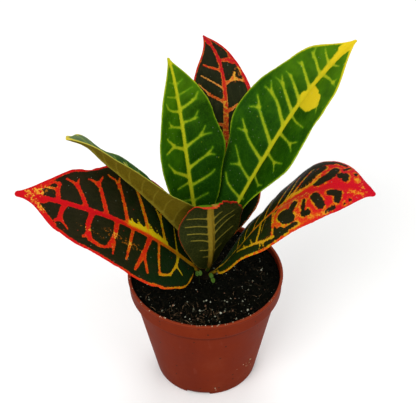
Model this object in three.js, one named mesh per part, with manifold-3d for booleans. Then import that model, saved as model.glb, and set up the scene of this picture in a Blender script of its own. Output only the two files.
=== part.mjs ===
// A potted croton: seven patterned leaves on a short stem, in a 9 cm plastic nursery pot.
// Millimetres, +Z up. The origin is the middle of the pot's underside, on the surface it stands on.

import * as THREE from 'three';
import { mergeVertices } from 'three/addons/utils/BufferGeometryUtils.js';
import Module from 'manifold-3d';

const wasm = await Module();
wasm.setup();

// Driving dimensions
const GAP = 0.3;

const POT = {
  height: 73, rimRadius: 45, collarHeight: 11, collarStep: 2.2, collarDraft: 0.8, baseRadius: 30,
  wall: 1.2, lipWidth: 1.7, lipHeight: 1.6, footHeight: 1.4, footWidth: 2.6, footEdge: 0.6,
  floor: 1.6, floorCurve: 2, padRadius: 8, edge: 0.4, sides: 56,
};
const DRAIN = {
  holes: 8, holeRadius: 3.2, holeCircle: 18, sides: 12,
  notches: 4, notchWidth: 15, notchDepth: 8, notchHeight: 2.2, turn: -0.17,
};

const SOIL = { top: 69, relief: 0.4, edgeRise: 0.5, clearance: 0.4, rings: 15, sides: 44 };

// The soil's crumbly relief: crossing ripples, each with its turn per mm along x and y in radians,
// where it starts and its share of the height.
const RIPPLES = [
  { x: 0.61, y: 0.53, start: 1.3, share: 1 },
  { x: 1.13, y: -0.9, start: 0.4, share: 0.6 },
  { x: 0.8, y: 1.7, start: 3.6, share: 0.4 },
];

const STEM = {
  bottom: 44, top: 98, budTip: 108, budRadius: 1.5, pointRadius: 0.4, baseRadius: 3.4, topRadius: 2.4,
  swelling: 0.3, lowNode: 80, highNode: 89, taperStart: 2, taperEnd: 6, sides: 20,
};

const BLADE = {
  thickness: 0.8, ribDepth: 1.1, ribHalfWidth: 1.5, ribTaper: 0.6, petioleHalfWidth: 1.25,
  petioleTaper: 6, tipHalfWidth: 0.35, creaseWidth: 2, halfWaveTurn: 1.1,
};

// Where the section's corners lie across a half leaf, from the midrib at 0 to the margin at 1.
const ACROSS = [0, 0.07, 0.3, 0.58, 0.82, 1];

// Each leaf: the four handles of its midrib's curve from stem to tip, the compass heading that its
// upper face is laid out from, its half width, where along it is widest, how full or slim its
// outline is, and its roll, fold and curl in degrees at the base, the middle and the tip. The
// swell says how much fuller its right and its left half are than that outline, seen from the
// stem, at even steps from base to tip.
const LEAVES = [
  {
    name: 'leaf_left', colour: 0x2c3a1c, rings: 24,
    midrib: [[-2.5, -1, 72], [-23.5, -18.5, 114.5], [-51.5, -14.5, 134], [-99.5, -16, 145]],
    heading: 180, halfWidth: 32, widest: 0.37, fill: 1.8, petiole: 0.08,
    roll: [-8, -16, -44], fold: [10, 13, 16], curl: [28, 14, 4],
    wave: { height: 1.2, count: 3.5, phase: 0.6 }, slant: 0,
    swell: [
      [0.99, 1.01, 1.03, 1.08, 1.11, 1.07, 1.07, 1.07, 1.14],
      [1.21, 0.92, 0.96, 0.94, 0.95, 0.93, 1.04, 0.95, 0.54],
    ],
  },
  {
    name: 'leaf_left_upper', colour: 0x4f6a1f, rings: 24,
    midrib: [[-2, 0, 80], [-7.5, -14, 118], [-61.5, -6, 171.5], [-68, -23, 185]],
    heading: 216, halfWidth: 21, widest: 0.37, fill: 1.1, petiole: 0.08,
    roll: [30, 0, 5], fold: [44, 29, 14], curl: [0, 0, 0],
    wave: { height: 0.6, count: 3, phase: 0 }, slant: 0,
    swell: [
      [1.01, 0.93, 0.85, 0.79, 0.96, 1, 0.68, 1.03, 1.04],
      [1, 0.99, 0.98, 0.98, 0.98, 0.86, 0.88, 1.06, 1.15],
    ],
  },
  {
    name: 'leaf_upright_left', colour: 0x3f7a22, rings: 24,
    midrib: [[-1.5, 1.5, 87], [-10.5, 15.5, 126.5], [-10.5, 28, 164], [-18.5, 33, 196.5]],
    heading: 125, halfWidth: 21.5, widest: 0.46, fill: 1.9, petiole: 0.07,
    roll: [15, 2, 4], fold: [19, 17, 15], curl: [-2, 0, 2],
    wave: { height: 0.6, count: 4, phase: 1 }, slant: 0,
    swell: [
      [0.99, 0.98, 0.98, 1.01, 1.09, 1.05, 1.09, 1.04, 0.66],
      [0.98, 0.93, 0.89, 0.96, 0.96, 0.93, 0.95, 0.86, 0.77],
    ],
  },
  {
    name: 'leaf_back', colour: 0x26301c, rings: 24,
    midrib: [[1, 2, 79], [10, 29.5, 105], [22.5, 62, 173.5], [0, 60, 193.5]],
    heading: 84, halfWidth: 24.5, widest: 0.42, fill: 1.5, petiole: 0.07,
    roll: [-2, -4, -14], fold: [8, 10, 12], curl: [0, 0, 0],
    wave: { height: 0.6, count: 4, phase: 2 }, slant: 0,
    swell: [
      [0.99, 1.06, 1.03, 0.92, 0.84, 0.82, 0.91, 0.95, 0.92],
      [1, 1, 1, 1, 1, 1.01, 1.04, 1.11, 0.88],
    ],
  },
  {
    name: 'leaf_right_upper', colour: 0x3f7a22, rings: 26,
    midrib: [[2, 1, 83], [29, 23, 125], [49.5, 29, 175.5], [81, 36, 204.5]],
    heading: 28, halfWidth: 28, widest: 0.52, fill: 2, petiole: 0.07,
    roll: [-12, 5, 4], fold: [32, 28, 24], curl: [4, 7, 10],
    wave: { height: 0.8, count: 4, phase: 0.5 }, slant: 0,
    swell: [
      [0.91, 0.84, 0.83, 0.96, 1.15, 1.02, 1.15, 1.19, 0.82],
      [1.12, 1.13, 1.02, 0.94, 1.05, 1.06, 0.98, 1.03, 0.61],
    ],
  },
  {
    name: 'leaf_right', colour: 0x5a3a1c, rings: 26,
    midrib: [[2.5, -1.5, 72], [20, -16, 92.5], [40.5, 3.5, 153], [90, -17, 142.5]],
    heading: -25, halfWidth: 27, widest: 0.47, fill: 1.8, petiole: 0.07,
    roll: [5, 8, 22], fold: [18, 12, 6], curl: [30, 36, 41],
    wave: { height: 1, count: 4, phase: 0 }, slant: 0,
    swell: [
      [1.25, 0.91, 0.94, 1, 1.07, 0.91, 0.89, 0.81, 0.67],
      [1.07, 1.04, 0.96, 0.75, 0.73, 1.02, 1.17, 1.28, 0.78],
    ],
  },
  {
    name: 'leaf_front', colour: 0x4a4a20, rings: 18,
    midrib: [[1, -2, 76], [7.5, -15.5, 102], [-1, -8, 138.5], [6.5, -22, 139]],
    heading: -72, halfWidth: 19, widest: 0.6, fill: 1.1, petiole: 0.07,
    roll: [22, 10, -5], fold: [2, 1, 0], curl: [0, 0, 0],
    wave: { height: 0.8, count: 3, phase: 1.5 }, slant: -5.2,
    swell: [
      [0.99, 0.94, 0.9, 0.93, 0.99, 0.99, 0.87, 0.76, 0.81],
      [0.76, 0.66, 0.75, 0.86, 0.97, 0.98, 1.02, 0.95, 0.63],
    ],
  },
];

const SPROUT = {
  stalkRadius: 0.45, thickness: 0.85, buried: 3, sides: 8, droop: 0.35, betweenLeaves: 3, overlap: 0.3,
};
const SPROUTS = [
  { name: 'sprout_left', foot: [-3.8, -6.3], height: 8.1, leafLength: 2.4, leafWidth: 2.6, turn: 0.2 },
  { name: 'sprout_right', foot: [3.9, -7.4], height: 5.6, leafLength: 3.2, leafWidth: 2.4, turn: 2 },
];

const PLASTIC = { color: 0x7a2e1e, roughness: 0.6, metalness: 0 };
const EARTH = { color: 0x15130f, roughness: 0.95, metalness: 0 };
const BARK = { color: 0x5b5a33, roughness: 0.75, metalness: 0 };
const SPROUT_GREEN = { color: 0x4f7f2a, roughness: 0.55, metalness: 0 };
const LEAF_FINISH = { roughness: 0.35, metalness: 0 };

// Small helpers
function lerpThree(values, v) {
  const [base, middle, tip] = values;
  return v < 0.5 ? base + (middle - base) * v * 2 : middle + (tip - middle) * (v - 0.5) * 2;
}

// A smooth curve through values at even steps, read at a place from 0 to 1.
function smoothThrough(values, at) {
  const last = values.length - 1;
  const place = Math.min(Math.max(at, 0), 1) * last;
  const step = Math.min(Math.floor(place), last - 1);
  const t = place - step;
  const near = (k) => values[Math.min(Math.max(step + k, 0), last)];
  const [p, q, r, s] = [-1, 0, 1, 2].map(near);
  return q + 0.5 * t * (r - p + t * (2 * p - 5 * q + 4 * r - s + t * (3 * q - p - 3 * r + s)));
}

function radians(degrees) {
  return degrees * Math.PI / 180;
}

function polar(radius, angle) {
  return [radius * Math.cos(angle), radius * Math.sin(angle)];
}

function solidFrom(geometry) {
  const plain = geometry.clone();
  plain.deleteAttribute('normal');
  plain.deleteAttribute('uv');
  const merged = mergeVertices(plain, 1e-4);
  return new wasm.Manifold(new wasm.Mesh({
    numProp: 3,
    vertProperties: new Float32Array(merged.attributes.position.array),
    triVerts: new Uint32Array(merged.index.array),
  }));
}

function geometryFrom(solid) {
  const mesh = solid.getMesh();
  const geometry = new THREE.BufferGeometry();
  geometry.setAttribute('position', new THREE.BufferAttribute(new Float32Array(mesh.vertProperties), 3));
  geometry.setIndex(new THREE.BufferAttribute(new Uint32Array(mesh.triVerts), 1));
  return geometry.toNonIndexed();
}

function namedMesh(name, geometry, finish) {
  const mesh = new THREE.Mesh(geometry, new THREE.MeshStandardMaterial(finish));
  mesh.name = name;
  geometry.computeVertexNormals();
  return mesh;
}

// Turned shapes: a profile of [radius, height] points, standing on +Z.
function turned(profile, sides) {
  const points = profile.map(([radius, height]) => new THREE.Vector2(radius, height));
  const geometry = new THREE.LatheGeometry(points, sides);
  geometry.rotateX(Math.PI / 2);
  return geometry;
}

function upright(radius, bottom, top, sides) {
  return turned([[0, bottom], [radius, bottom], [radius, top], [0, top]], sides);
}

// Pot: a tapering shell with a stepped collar and a lip, on a foot ring cut by notches.
const BODY_TOP = POT.height - POT.collarHeight;
const COLLAR_LOW_RADIUS = POT.rimRadius - POT.collarDraft;
const BODY_RADIUS = COLLAR_LOW_RADIUS - POT.collarStep;
const FLOOR_TOP = POT.footHeight + POT.floor;

function bodyRadiusAt(height) {
  return POT.baseRadius + (BODY_RADIUS - POT.baseRadius) * height / BODY_TOP;
}

function potShell() {
  const { height, rimRadius, baseRadius, wall, lipWidth, lipHeight, edge } = POT;
  const { footHeight, footEdge, padRadius } = POT;
  const inner = (z) => bodyRadiusAt(z) - wall;
  const footInner = baseRadius - POT.footWidth;
  const lipLow = height - lipHeight;
  const bend = FLOOR_TOP + POT.floorCurve;
  return turned([
    [0, 0], [padRadius, 0], [padRadius + 1, footHeight],
    [footInner - edge, footHeight], [footInner, 0], [baseRadius - footEdge, 0],
    [bodyRadiusAt(footEdge), footEdge], [BODY_RADIUS, BODY_TOP],
    [COLLAR_LOW_RADIUS - edge, BODY_TOP + edge], [COLLAR_LOW_RADIUS, BODY_TOP + 3 * edge],
    [rimRadius - edge, lipLow - edge], [rimRadius, lipLow + edge],
    [rimRadius, height - edge], [rimRadius - edge, height],
    [rimRadius - lipWidth + edge, height], [rimRadius - lipWidth, height - edge],
    [COLLAR_LOW_RADIUS - wall, BODY_TOP + 2 * wall], [inner(BODY_TOP), BODY_TOP + 2 * edge],
    [inner(bend), bend], [inner(FLOOR_TOP) - POT.floorCurve, FLOOR_TOP], [0, FLOOR_TOP],
  ], POT.sides);
}

function potGeometry() {
  let pot = solidFrom(potShell());
  for (let i = 0; i < DRAIN.holes; i += 1) {
    const [x, y] = polar(DRAIN.holeCircle, (i + 0.5) / DRAIN.holes * Math.PI * 2);
    const drill = upright(DRAIN.holeRadius, -1, FLOOR_TOP + 1, DRAIN.sides).translate(x, y, 0);
    pot = pot.subtract(solidFrom(drill));
  }
  for (let i = 0; i < DRAIN.notches; i += 1) {
    const angle = i / DRAIN.notches * Math.PI * 2 - Math.PI / 2 + DRAIN.turn;
    const [x, y] = polar(POT.baseRadius, angle);
    const tall = DRAIN.notchHeight * 2;
    const cutter = new THREE.BoxGeometry(DRAIN.notchDepth, DRAIN.notchWidth, tall);
    cutter.rotateZ(angle).translate(x, y, 0);
    pot = pot.subtract(solidFrom(cutter));
  }
  return geometryFrom(pot);
}

// Soil: a plug that fills the pot, with a crumbly top, and a plain hole for each stalk.
function soilHeight(x, y, edge) {
  const crumbs = RIPPLES.reduce((sum, ripple) => (
    sum + ripple.share * Math.sin(ripple.x * x + ripple.y * y + ripple.start)), 0);
  return SOIL.top + SOIL.edgeRise * edge ** 4 + SOIL.relief * crumbs;
}

function soilPlug() {
  const bottom = FLOOR_TOP + GAP;
  const bend = FLOOR_TOP + POT.floorCurve;
  const inside = (height) => bodyRadiusAt(height) - POT.wall - SOIL.clearance;
  const topRadius = COLLAR_LOW_RADIUS - POT.wall - SOIL.clearance;
  const wall = [
    [inside(bottom) - POT.floorCurve, bottom], [inside(bend), bend + GAP],
    [inside(BODY_TOP), BODY_TOP + 2 * GAP], [topRadius, BODY_TOP + 2 * POT.wall + SOIL.clearance],
  ];
  const vertices = [0, 0, bottom];
  const faces = [];
  const addRing = (radiusAt, heightAt) => {
    for (let j = 0; j < SOIL.sides; j += 1) {
      const [x, y] = polar(radiusAt, j / SOIL.sides * Math.PI * 2);
      vertices.push(x, y, heightAt(x, y));
    }
  };
  wall.forEach(([radius, height]) => addRing(radius, () => height));
  for (let i = 0; i < SOIL.rings; i += 1) {
    const edge = 1 - i / SOIL.rings;
    addRing(topRadius * edge, (x, y) => soilHeight(x, y, edge));
  }
  vertices.push(0, 0, soilHeight(0, 0, 0));
  const ringCount = wall.length + SOIL.rings;
  const at = (ring, j) => 1 + ring * SOIL.sides + (j % SOIL.sides);
  const last = 1 + ringCount * SOIL.sides;
  for (let j = 0; j < SOIL.sides; j += 1) {
    faces.push(0, at(0, j + 1), at(0, j));
    for (let ring = 0; ring < ringCount - 1; ring += 1) {
      faces.push(at(ring, j), at(ring, j + 1), at(ring + 1, j + 1));
      faces.push(at(ring, j), at(ring + 1, j + 1), at(ring + 1, j));
    }
    faces.push(at(ringCount - 1, j), at(ringCount - 1, j + 1), last);
  }
  const geometry = new THREE.BufferGeometry();
  geometry.setAttribute('position', new THREE.Float32BufferAttribute(vertices, 3));
  geometry.setIndex(faces);
  return geometry;
}

function soilGeometry() {
  let soil = solidFrom(soilPlug());
  const above = POT.height;
  const stemHole = upright(STEM.baseRadius + GAP, STEM.bottom - GAP, above, STEM.sides);
  soil = soil.subtract(solidFrom(stemHole));
  for (const { foot: [x, y] } of SPROUTS) {
    const bottom = SOIL.top - SPROUT.buried - GAP;
    const hole = upright(SPROUT.stalkRadius + GAP, bottom, above, SPROUT.sides);
    soil = soil.subtract(solidFrom(hole.translate(x, y, 0)));
  }
  return geometryFrom(soil);
}

// Stem: woody below, slightly swollen where leaves grow from it, ending in a pointed bud.
function stemProfile(grow) {
  const { bottom, top, budTip, budRadius, baseRadius, topRadius, swelling, lowNode, highNode } = STEM;
  const middle = (baseRadius + topRadius) / 2;
  const outline = [
    [baseRadius, bottom - grow], [baseRadius, SOIL.top + STEM.taperStart],
    [middle, SOIL.top + STEM.taperEnd], [middle + swelling, lowNode],
    [middle - swelling, (lowNode + highNode) / 2], [topRadius + swelling, highNode],
    [topRadius, (highNode + 2 * top) / 3], [topRadius - swelling, top],
    [budRadius, (top + budTip) / 2], [STEM.pointRadius, budTip + grow],
  ];
  return [[0, bottom - grow], ...outline.map(([radius, z]) => [radius + grow, z]), [0, budTip + grow]];
}

function stemGeometry() {
  return turned(stemProfile(0), STEM.sides);
}

// Leaf: a thin solid laid over a curved midrib. Its section is a folded and curled strip.
function midribFrames(leaf) {
  const handles = leaf.midrib.map(([x, y, z]) => new THREE.Vector3(x, y, z));
  const curve = new THREE.CubicBezierCurve3(...handles);
  curve.arcLengthDivisions = 400;
  const heading = radians(leaf.heading);
  const level = new THREE.Vector3(-Math.sin(heading), Math.cos(heading), 0);
  const frames = [];
  for (let i = 0; i <= leaf.rings; i += 1) {
    const v = i / leaf.rings;
    const point = curve.getPointAt(v);
    const along = curve.getTangentAt(v).normalize();
    const side = level.clone().addScaledVector(along, -level.dot(along)).normalize();
    side.applyAxisAngle(along, radians(lerpThree(leaf.roll, v)));
    const up = new THREE.Vector3().crossVectors(along, side);
    frames.push({ v, point, along, side, up });
  }
  return frames;
}

// The outline rises from the petiole and falls to the tip. Narrow is its share of the full width.
function outlineAt(leaf, v) {
  const { widest, fill, halfWidth, petiole, swell } = leaf;
  const b = Math.min(Math.max((v - petiole) / (1 - petiole), 0), 1);
  const low = (b / widest) ** (fill * widest);
  const high = ((1 - b) / (1 - widest)) ** (fill * (1 - widest));
  const narrow = low * high;
  const extra = BLADE.petioleHalfWidth - BLADE.tipHalfWidth;
  const smallest = BLADE.tipHalfWidth + extra * Math.max(0, 1 - BLADE.petioleTaper * b);
  const [right, left] = swell.map((side) => Math.max(halfWidth * narrow * smoothThrough(side, b), smallest));
  return { narrow, right, left };
}

// A half section is an arc that leaves the midrib at the fold angle and bends down by the curl.
function sectionPoint(leaf, v, u, halfWidth) {
  const fold = radians(lerpThree(leaf.fold, v));
  const curl = radians(lerpThree(leaf.curl, v));
  const bend = Math.abs(curl) < 1e-3 ? 1e-3 : curl;
  const reach = Math.abs(u);
  const across = Math.sign(u) * halfWidth * (Math.sin(fold) - Math.sin(fold - bend * reach)) / bend;
  const lift = halfWidth * (Math.cos(fold - bend * reach) - Math.cos(fold)) / bend;
  const slope = (fold - bend * reach) * Math.sign(u);
  return { across, lift, slope };
}

function leafBlade(leaf) {
  const frames = midribFrames(leaf);
  const columns = [...ACROSS.slice(1).reverse().map((u) => -u), ...ACROSS];
  const count = columns.length;
  const vertices = [];
  for (const { v, point, along, side, up } of frames) {
    const { narrow, right, left } = outlineAt(leaf, v);
    const ripple = leaf.wave.height * narrow;
    const offsets = columns.map((u) => {
      const halfWidth = u < 0 ? right : left;
      const { across, lift, slope } = sectionPoint(leaf, v, u, halfWidth);
      const turn = leaf.wave.phase + (u > 0 ? BLADE.halfWaveTurn : 0);
      const wave = ripple * u * u * Math.sin(2 * Math.PI * leaf.wave.count * v + turn);
      const shift = leaf.slant * u * v ** 3 * narrow;
      const middle = point.clone().addScaledVector(side, across).addScaledVector(up, lift + wave)
        .addScaledVector(along, shift);
      const tilt = slope * Math.min(1, Math.abs(u) * halfWidth / BLADE.creaseWidth);
      const normal = up.clone().multiplyScalar(Math.cos(tilt)).addScaledVector(side, -Math.sin(tilt));
      const fromRib = Math.abs(u) * halfWidth / BLADE.ribHalfWidth;
      const rib = BLADE.ribDepth * (1 - BLADE.ribTaper * v) * Math.max(0, 1 - fromRib * fromRib);
      return { middle, normal, rib };
    });
    for (const { middle, normal } of offsets) {
      vertices.push(...middle.clone().addScaledVector(normal, BLADE.thickness / 2).toArray());
    }
    for (const { middle, normal, rib } of offsets) {
      vertices.push(...middle.clone().addScaledVector(normal, -BLADE.thickness / 2 - rib).toArray());
    }
  }
  const faces = [];
  const top = (ring, j) => ring * count * 2 + j;
  const under = (ring, j) => ring * count * 2 + count + j;
  const quad = (a, b, c, d) => faces.push(a, b, c, a, c, d);
  for (let ring = 0; ring < frames.length - 1; ring += 1) {
    for (let j = 0; j < count - 1; j += 1) {
      quad(top(ring, j), top(ring + 1, j), top(ring + 1, j + 1), top(ring, j + 1));
      faces.push(under(ring, j), under(ring + 1, j + 1), under(ring + 1, j));
      faces.push(under(ring, j), under(ring, j + 1), under(ring + 1, j + 1));
    }
    quad(top(ring, 0), under(ring, 0), under(ring + 1, 0), top(ring + 1, 0));
    const e = count - 1;
    quad(top(ring, e), top(ring + 1, e), under(ring + 1, e), under(ring, e));
  }
  const end = frames.length - 1;
  for (let j = 0; j < count - 1; j += 1) {
    quad(top(0, j), top(0, j + 1), under(0, j + 1), under(0, j));
    quad(top(end, j), under(end, j), under(end, j + 1), top(end, j + 1));
  }
  const geometry = new THREE.BufferGeometry();
  geometry.setAttribute('position', new THREE.Float32BufferAttribute(vertices, 3));
  geometry.setIndex(faces);
  return geometry;
}

function leafGeometry(leaf) {
  const stemClearance = solidFrom(turned(stemProfile(GAP), STEM.sides));
  return geometryFrom(solidFrom(leafBlade(leaf)).subtract(stemClearance));
}

// Sprout: a seedling of a thread-like stalk and two small round leaves.
function sproutGeometry(sprout) {
  const { foot: [x, y], height, leafLength, leafWidth, turn } = sprout;
  const top = SOIL.top + height;
  let plant = solidFrom(upright(SPROUT.stalkRadius, SOIL.top - SPROUT.buried, top, SPROUT.sides));
  for (const side of [0, 1]) {
    const leaflet = new THREE.SphereGeometry(0.5, 12, 6);
    leaflet.scale(leafLength, leafWidth, SPROUT.thickness);
    leaflet.translate(leafLength / 2 - SPROUT.overlap, 0, 0).rotateY(-SPROUT.droop);
    leaflet.rotateZ(turn + side * SPROUT.betweenLeaves).translate(0, 0, top - SPROUT.overlap);
    plant = plant.add(solidFrom(leaflet));
  }
  return geometryFrom(plant).translate(x, y, 0);
}

const croton = new THREE.Group();
croton.add(namedMesh('pot', potGeometry(), PLASTIC));
croton.add(namedMesh('soil', soilGeometry(), EARTH));
croton.add(namedMesh('stem', stemGeometry(), BARK));
for (const leaf of LEAVES) {
  croton.add(namedMesh(leaf.name, leafGeometry(leaf), { color: leaf.colour, ...LEAF_FINISH }));
}
for (const sprout of SPROUTS) {
  croton.add(namedMesh(sprout.name, sproutGeometry(sprout), SPROUT_GREEN));
}

export default croton;
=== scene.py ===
"""A potted croton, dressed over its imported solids.

Each leaf is one closed blade. Two numbers place everything on it: v runs along the midrib from 0 at
the stem to 1 at the tip, and u runs across from -1 at the right margin to 1 at the left one, seen
from the stem. Sizes are in millimetres here, and meshes are made in metres.
"""

import math

import bpy
import numpy as np
from mathutils import Matrix, Vector


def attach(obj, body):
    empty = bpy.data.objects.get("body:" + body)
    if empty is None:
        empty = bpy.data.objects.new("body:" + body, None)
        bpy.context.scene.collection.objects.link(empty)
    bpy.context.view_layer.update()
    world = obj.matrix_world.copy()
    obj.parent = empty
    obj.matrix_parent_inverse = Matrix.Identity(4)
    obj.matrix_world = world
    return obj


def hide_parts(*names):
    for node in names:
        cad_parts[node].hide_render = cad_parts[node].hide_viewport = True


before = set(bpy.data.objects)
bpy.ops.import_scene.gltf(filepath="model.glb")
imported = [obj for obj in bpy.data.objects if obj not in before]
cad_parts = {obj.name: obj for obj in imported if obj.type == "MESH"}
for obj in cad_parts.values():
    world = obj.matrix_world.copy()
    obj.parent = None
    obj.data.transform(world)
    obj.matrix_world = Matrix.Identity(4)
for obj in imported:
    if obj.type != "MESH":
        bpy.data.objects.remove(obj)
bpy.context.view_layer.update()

MM = 0.001

# Driving sizes of the pot, its drain holes and notches, the soil and the stem. Clearance and gap are
# the air between the soil and the pot's wall and floor. A ripple of the soil is (a, b, start, share)
# and adds share * sin(a x + b y + start).
POT = dict(height=73, rim_radius=45, collar_height=11, collar_step=2.2, collar_draft=0.8,
           base_radius=30, wall=1.2, lip_width=1.7, lip_height=1.6, foot_height=1.4, foot_width=2.6,
           foot_edge=0.6, floor=1.6, floor_curve=2, pad_radius=8, edge=0.4)
DRAIN = dict(holes=8, hole_radius=3.2, hole_circle=18, notches=4, notch_width=15,
             notch_depth=8, notch_height=2.2, notch_splay=1, turn=-0.17)
SOIL = dict(top=69, relief=0.4, edge_rise=0.5, clearance=0.4, gap=0.3)
RIPPLES = ((0.61, 0.53, 1.3, 1), (1.13, -0.9, 0.4, 0.6), (0.8, 1.7, 3.6, 0.4))
STEM = dict(bottom=44, top=98, bud_tip=108, bud_radius=1.5, base_radius=3.4, top_radius=2.4,
            swelling=0.3, low_node=80, high_node=89)

BODY_TOP = POT["height"] - POT["collar_height"]
COLLAR_LOW_RADIUS = POT["rim_radius"] - POT["collar_draft"]
BODY_RADIUS = COLLAR_LOW_RADIUS - POT["collar_step"]
FLOOR_TOP = POT["foot_height"] + POT["floor"]
SOIL_RADIUS = COLLAR_LOW_RADIUS - POT["wall"] - SOIL["clearance"]

# What all blades share: their grid, their section, their midrib and veins, their petiole, the swelling
# between the veins, and how uneven and torn their margins are
BLADE = dict(
    rows=220, columns=84, tip_rows=20, tip_share=0.03,
    half_thickness=0.3, edge_radius=0.5, crease_width=2, half_wave_turn=1.1,
    rib_depth=1.1, rib_half_width=1.5, rib_taper=0.6, vein_ridge=0.16, ridge_width=0.45,
    low_rib=0.12, low_rib_width=0.55, groove=0.1, groove_width=0.6,
    petiole_half_width=1.25, petiole_taper=6, tip_half_width=0.35, stalk_above=0.9, stalk_beneath=1.4,
    pillow=0.32, pillow_reach=2.4, uneven=0.5, uneven_size=9, plain_margin=3,
    margin_steps=55, margin_seed=309, jag_reach=6, jag_size=1.6, jag_seed=77)

# Each leaf: its midrib's four handles, its heading in degrees from +X towards +Y, half width, widest
# place, fullness, and the share of its length that is petiole. Roll, fold and curl are degrees at
# base, middle and tip, and wave is (height, count, phase). Slant shifts one half along and the other
# back. Swell is how full the right and the left half are against the plain outline, at even steps.
# Some leaves have more: tip is the rounded end's (radius, share of the length), dents are (place,
# reach, height) on the right and on the left margin, ripple and frill are how uneven the margins
# and how torn the end is, and arch lifts the midrib by (place, spread, rise).
LEAVES = {
    "leaf_left": dict(
        midrib=[(-2.5, -1, 72), (-23.5, -18.5, 114.5), (-51.5, -14.5, 134), (-99.5, -16, 145)],
        heading=180, half_width=32, widest=0.37, fill=1.8, petiole=0.08,
        roll=(-8, -16, -44), fold=(10, 13, 16), curl=(28, 14, 4), wave=(1.2, 3.5, 0.6), slant=0,
        tip=(1.7, 0.014), ripple=0.35,
        dents=(((0.925, 0.04, -0.5), (0.8, 0.035, 1.3), (0.725, 0.025, -1), (0.655, 0.02, 1)),
               ((0.92, 0.03, -0.5), (0.83, 0.04, 1.3), (0.55, 0.12, 0.8), (0.33, 0.012, -0.8),
                (0.088, 0.018, 2.4))),
        swell=((0.99, 1.01, 1.03, 1.08, 1.11, 1.07, 1.07, 1.07, 1.14),
               (1.21, 0.92, 0.96, 0.94, 0.95, 0.93, 1.04, 0.95, 0.54))),
    "leaf_left_upper": dict(
        midrib=[(-2, 0, 80), (-7.5, -14, 118), (-61.5, -6, 171.5), (-68, -23, 185)],
        heading=216, half_width=21, widest=0.37, fill=1.1, petiole=0.08,
        roll=(30, 0, 5), fold=(44, 29, 14), curl=(0, 0, 0), wave=(0.6, 3, 0), slant=0,
        arch=(0.88, 0.075, 1.5),
        dents=(((0.88, 0.06, -0.7), (0.945, 0.032, -2.3), (0.4, 0.12, -0.8)), ((0.9, 0.08, -3.2),)),
        swell=((1.01, 0.93, 0.85, 0.79, 0.96, 1, 0.68, 1.03, 1.04),
               (1, 0.99, 0.98, 0.98, 0.98, 0.86, 0.88, 1.06, 1.15))),
    "leaf_upright_left": dict(
        midrib=[(-1.5, 1.5, 87), (-10.5, 15.5, 126.5), (-10.5, 28, 164), (-18.5, 33, 196.5)],
        heading=125, half_width=21.5, widest=0.46, fill=1.9, petiole=0.07,
        roll=(15, 2, 4), fold=(19, 17, 15), curl=(-2, 0, 2), wave=(0.6, 4, 1), slant=0,
        tip=(0.8, 0.008), dents=(((0.93, 0.05, 0.5),), ((0.6, 0.3, 0.4),)),
        swell=((0.99, 0.98, 0.98, 1.01, 1.09, 1.05, 1.09, 1.04, 0.66),
               (0.98, 0.93, 0.89, 0.96, 0.96, 0.93, 0.95, 0.86, 0.77))),
    "leaf_back": dict(
        midrib=[(1, 2, 79), (10, 29.5, 105), (22.5, 62, 173.5), (0, 60, 193.5)],
        heading=84, half_width=24.5, widest=0.42, fill=1.5, petiole=0.07,
        roll=(-2, -4, -14), fold=(8, 10, 12), curl=(0, 0, 0), wave=(0.6, 4, 2), slant=0,
        dents=(((0.85, 0.06, -0.9), (0.29, 0.06, 1.2)), ((0.8, 0.15, 0.6),)),
        swell=((0.99, 1.06, 1.03, 0.92, 0.84, 0.82, 0.91, 0.95, 0.92),
               (1, 1, 1, 1, 1, 1.01, 1.04, 1.11, 0.88))),
    "leaf_right_upper": dict(
        midrib=[(2, 1, 83), (29, 23, 125), (49.5, 29, 175.5), (81, 36, 204.5)],
        heading=28, half_width=28, widest=0.52, fill=2, petiole=0.07,
        roll=(-12, 5, 4), fold=(32, 28, 24), curl=(4, 7, 10), wave=(0.8, 4, 0.5), slant=0,
        tip=(0.9, 0.008),
        dents=(((0.7, 0.035, -1.6), (0.84, 0.05, 1.4)), ((0.87, 0.05, 0.8), (0.72, 0.05, -0.5))),
        swell=((0.91, 0.84, 0.83, 0.96, 1.15, 1.02, 1.15, 1.19, 0.82),
               (1.12, 1.13, 1.02, 0.94, 1.05, 1.06, 0.98, 1.03, 0.61))),
    "leaf_right": dict(
        midrib=[(2.5, -1.5, 72), (20, -16, 92.5), (40.5, 3.5, 153), (90, -17, 142.5)],
        heading=-25, half_width=27, widest=0.47, fill=1.8, petiole=0.07,
        roll=(5, 8, 22), fold=(18, 12, 6), curl=(30, 36, 41), wave=(1, 4, 0), slant=0,
        tip=(1.5, 0.012), dents=(((0.85, 0.1, 2.4), (0.965, 0.02, -0.4), (0.55, 0.08, 0.5)),
                                 ((0.38, 0.1, 1), (0.972, 0.02, 0.6))),
        swell=((1.25, 0.91, 0.94, 1, 1.07, 0.91, 0.89, 0.81, 0.67),
               (1.07, 1.04, 0.96, 0.75, 0.73, 1.02, 1.17, 1.28, 0.78))),
    "leaf_front": dict(
        midrib=[(1, -2, 76), (7.5, -15.5, 102), (-1, -8, 138.5), (6.5, -22, 139)],
        heading=-72, half_width=19, widest=0.6, fill=1.1, petiole=0.07,
        roll=(22, 10, -5), fold=(2, 1, 0), curl=(0, 0, 0), wave=(0.8, 3, 1.5), slant=-5.2,
        tip=(1, 0.015), frill=0.9,
        swell=((0.99, 0.94, 0.9, 0.93, 0.99, 0.99, 0.87, 0.76, 0.81),
               (0.76, 0.66, 0.75, 0.86, 0.97, 0.98, 1.02, 0.95, 0.63))),
}

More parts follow.
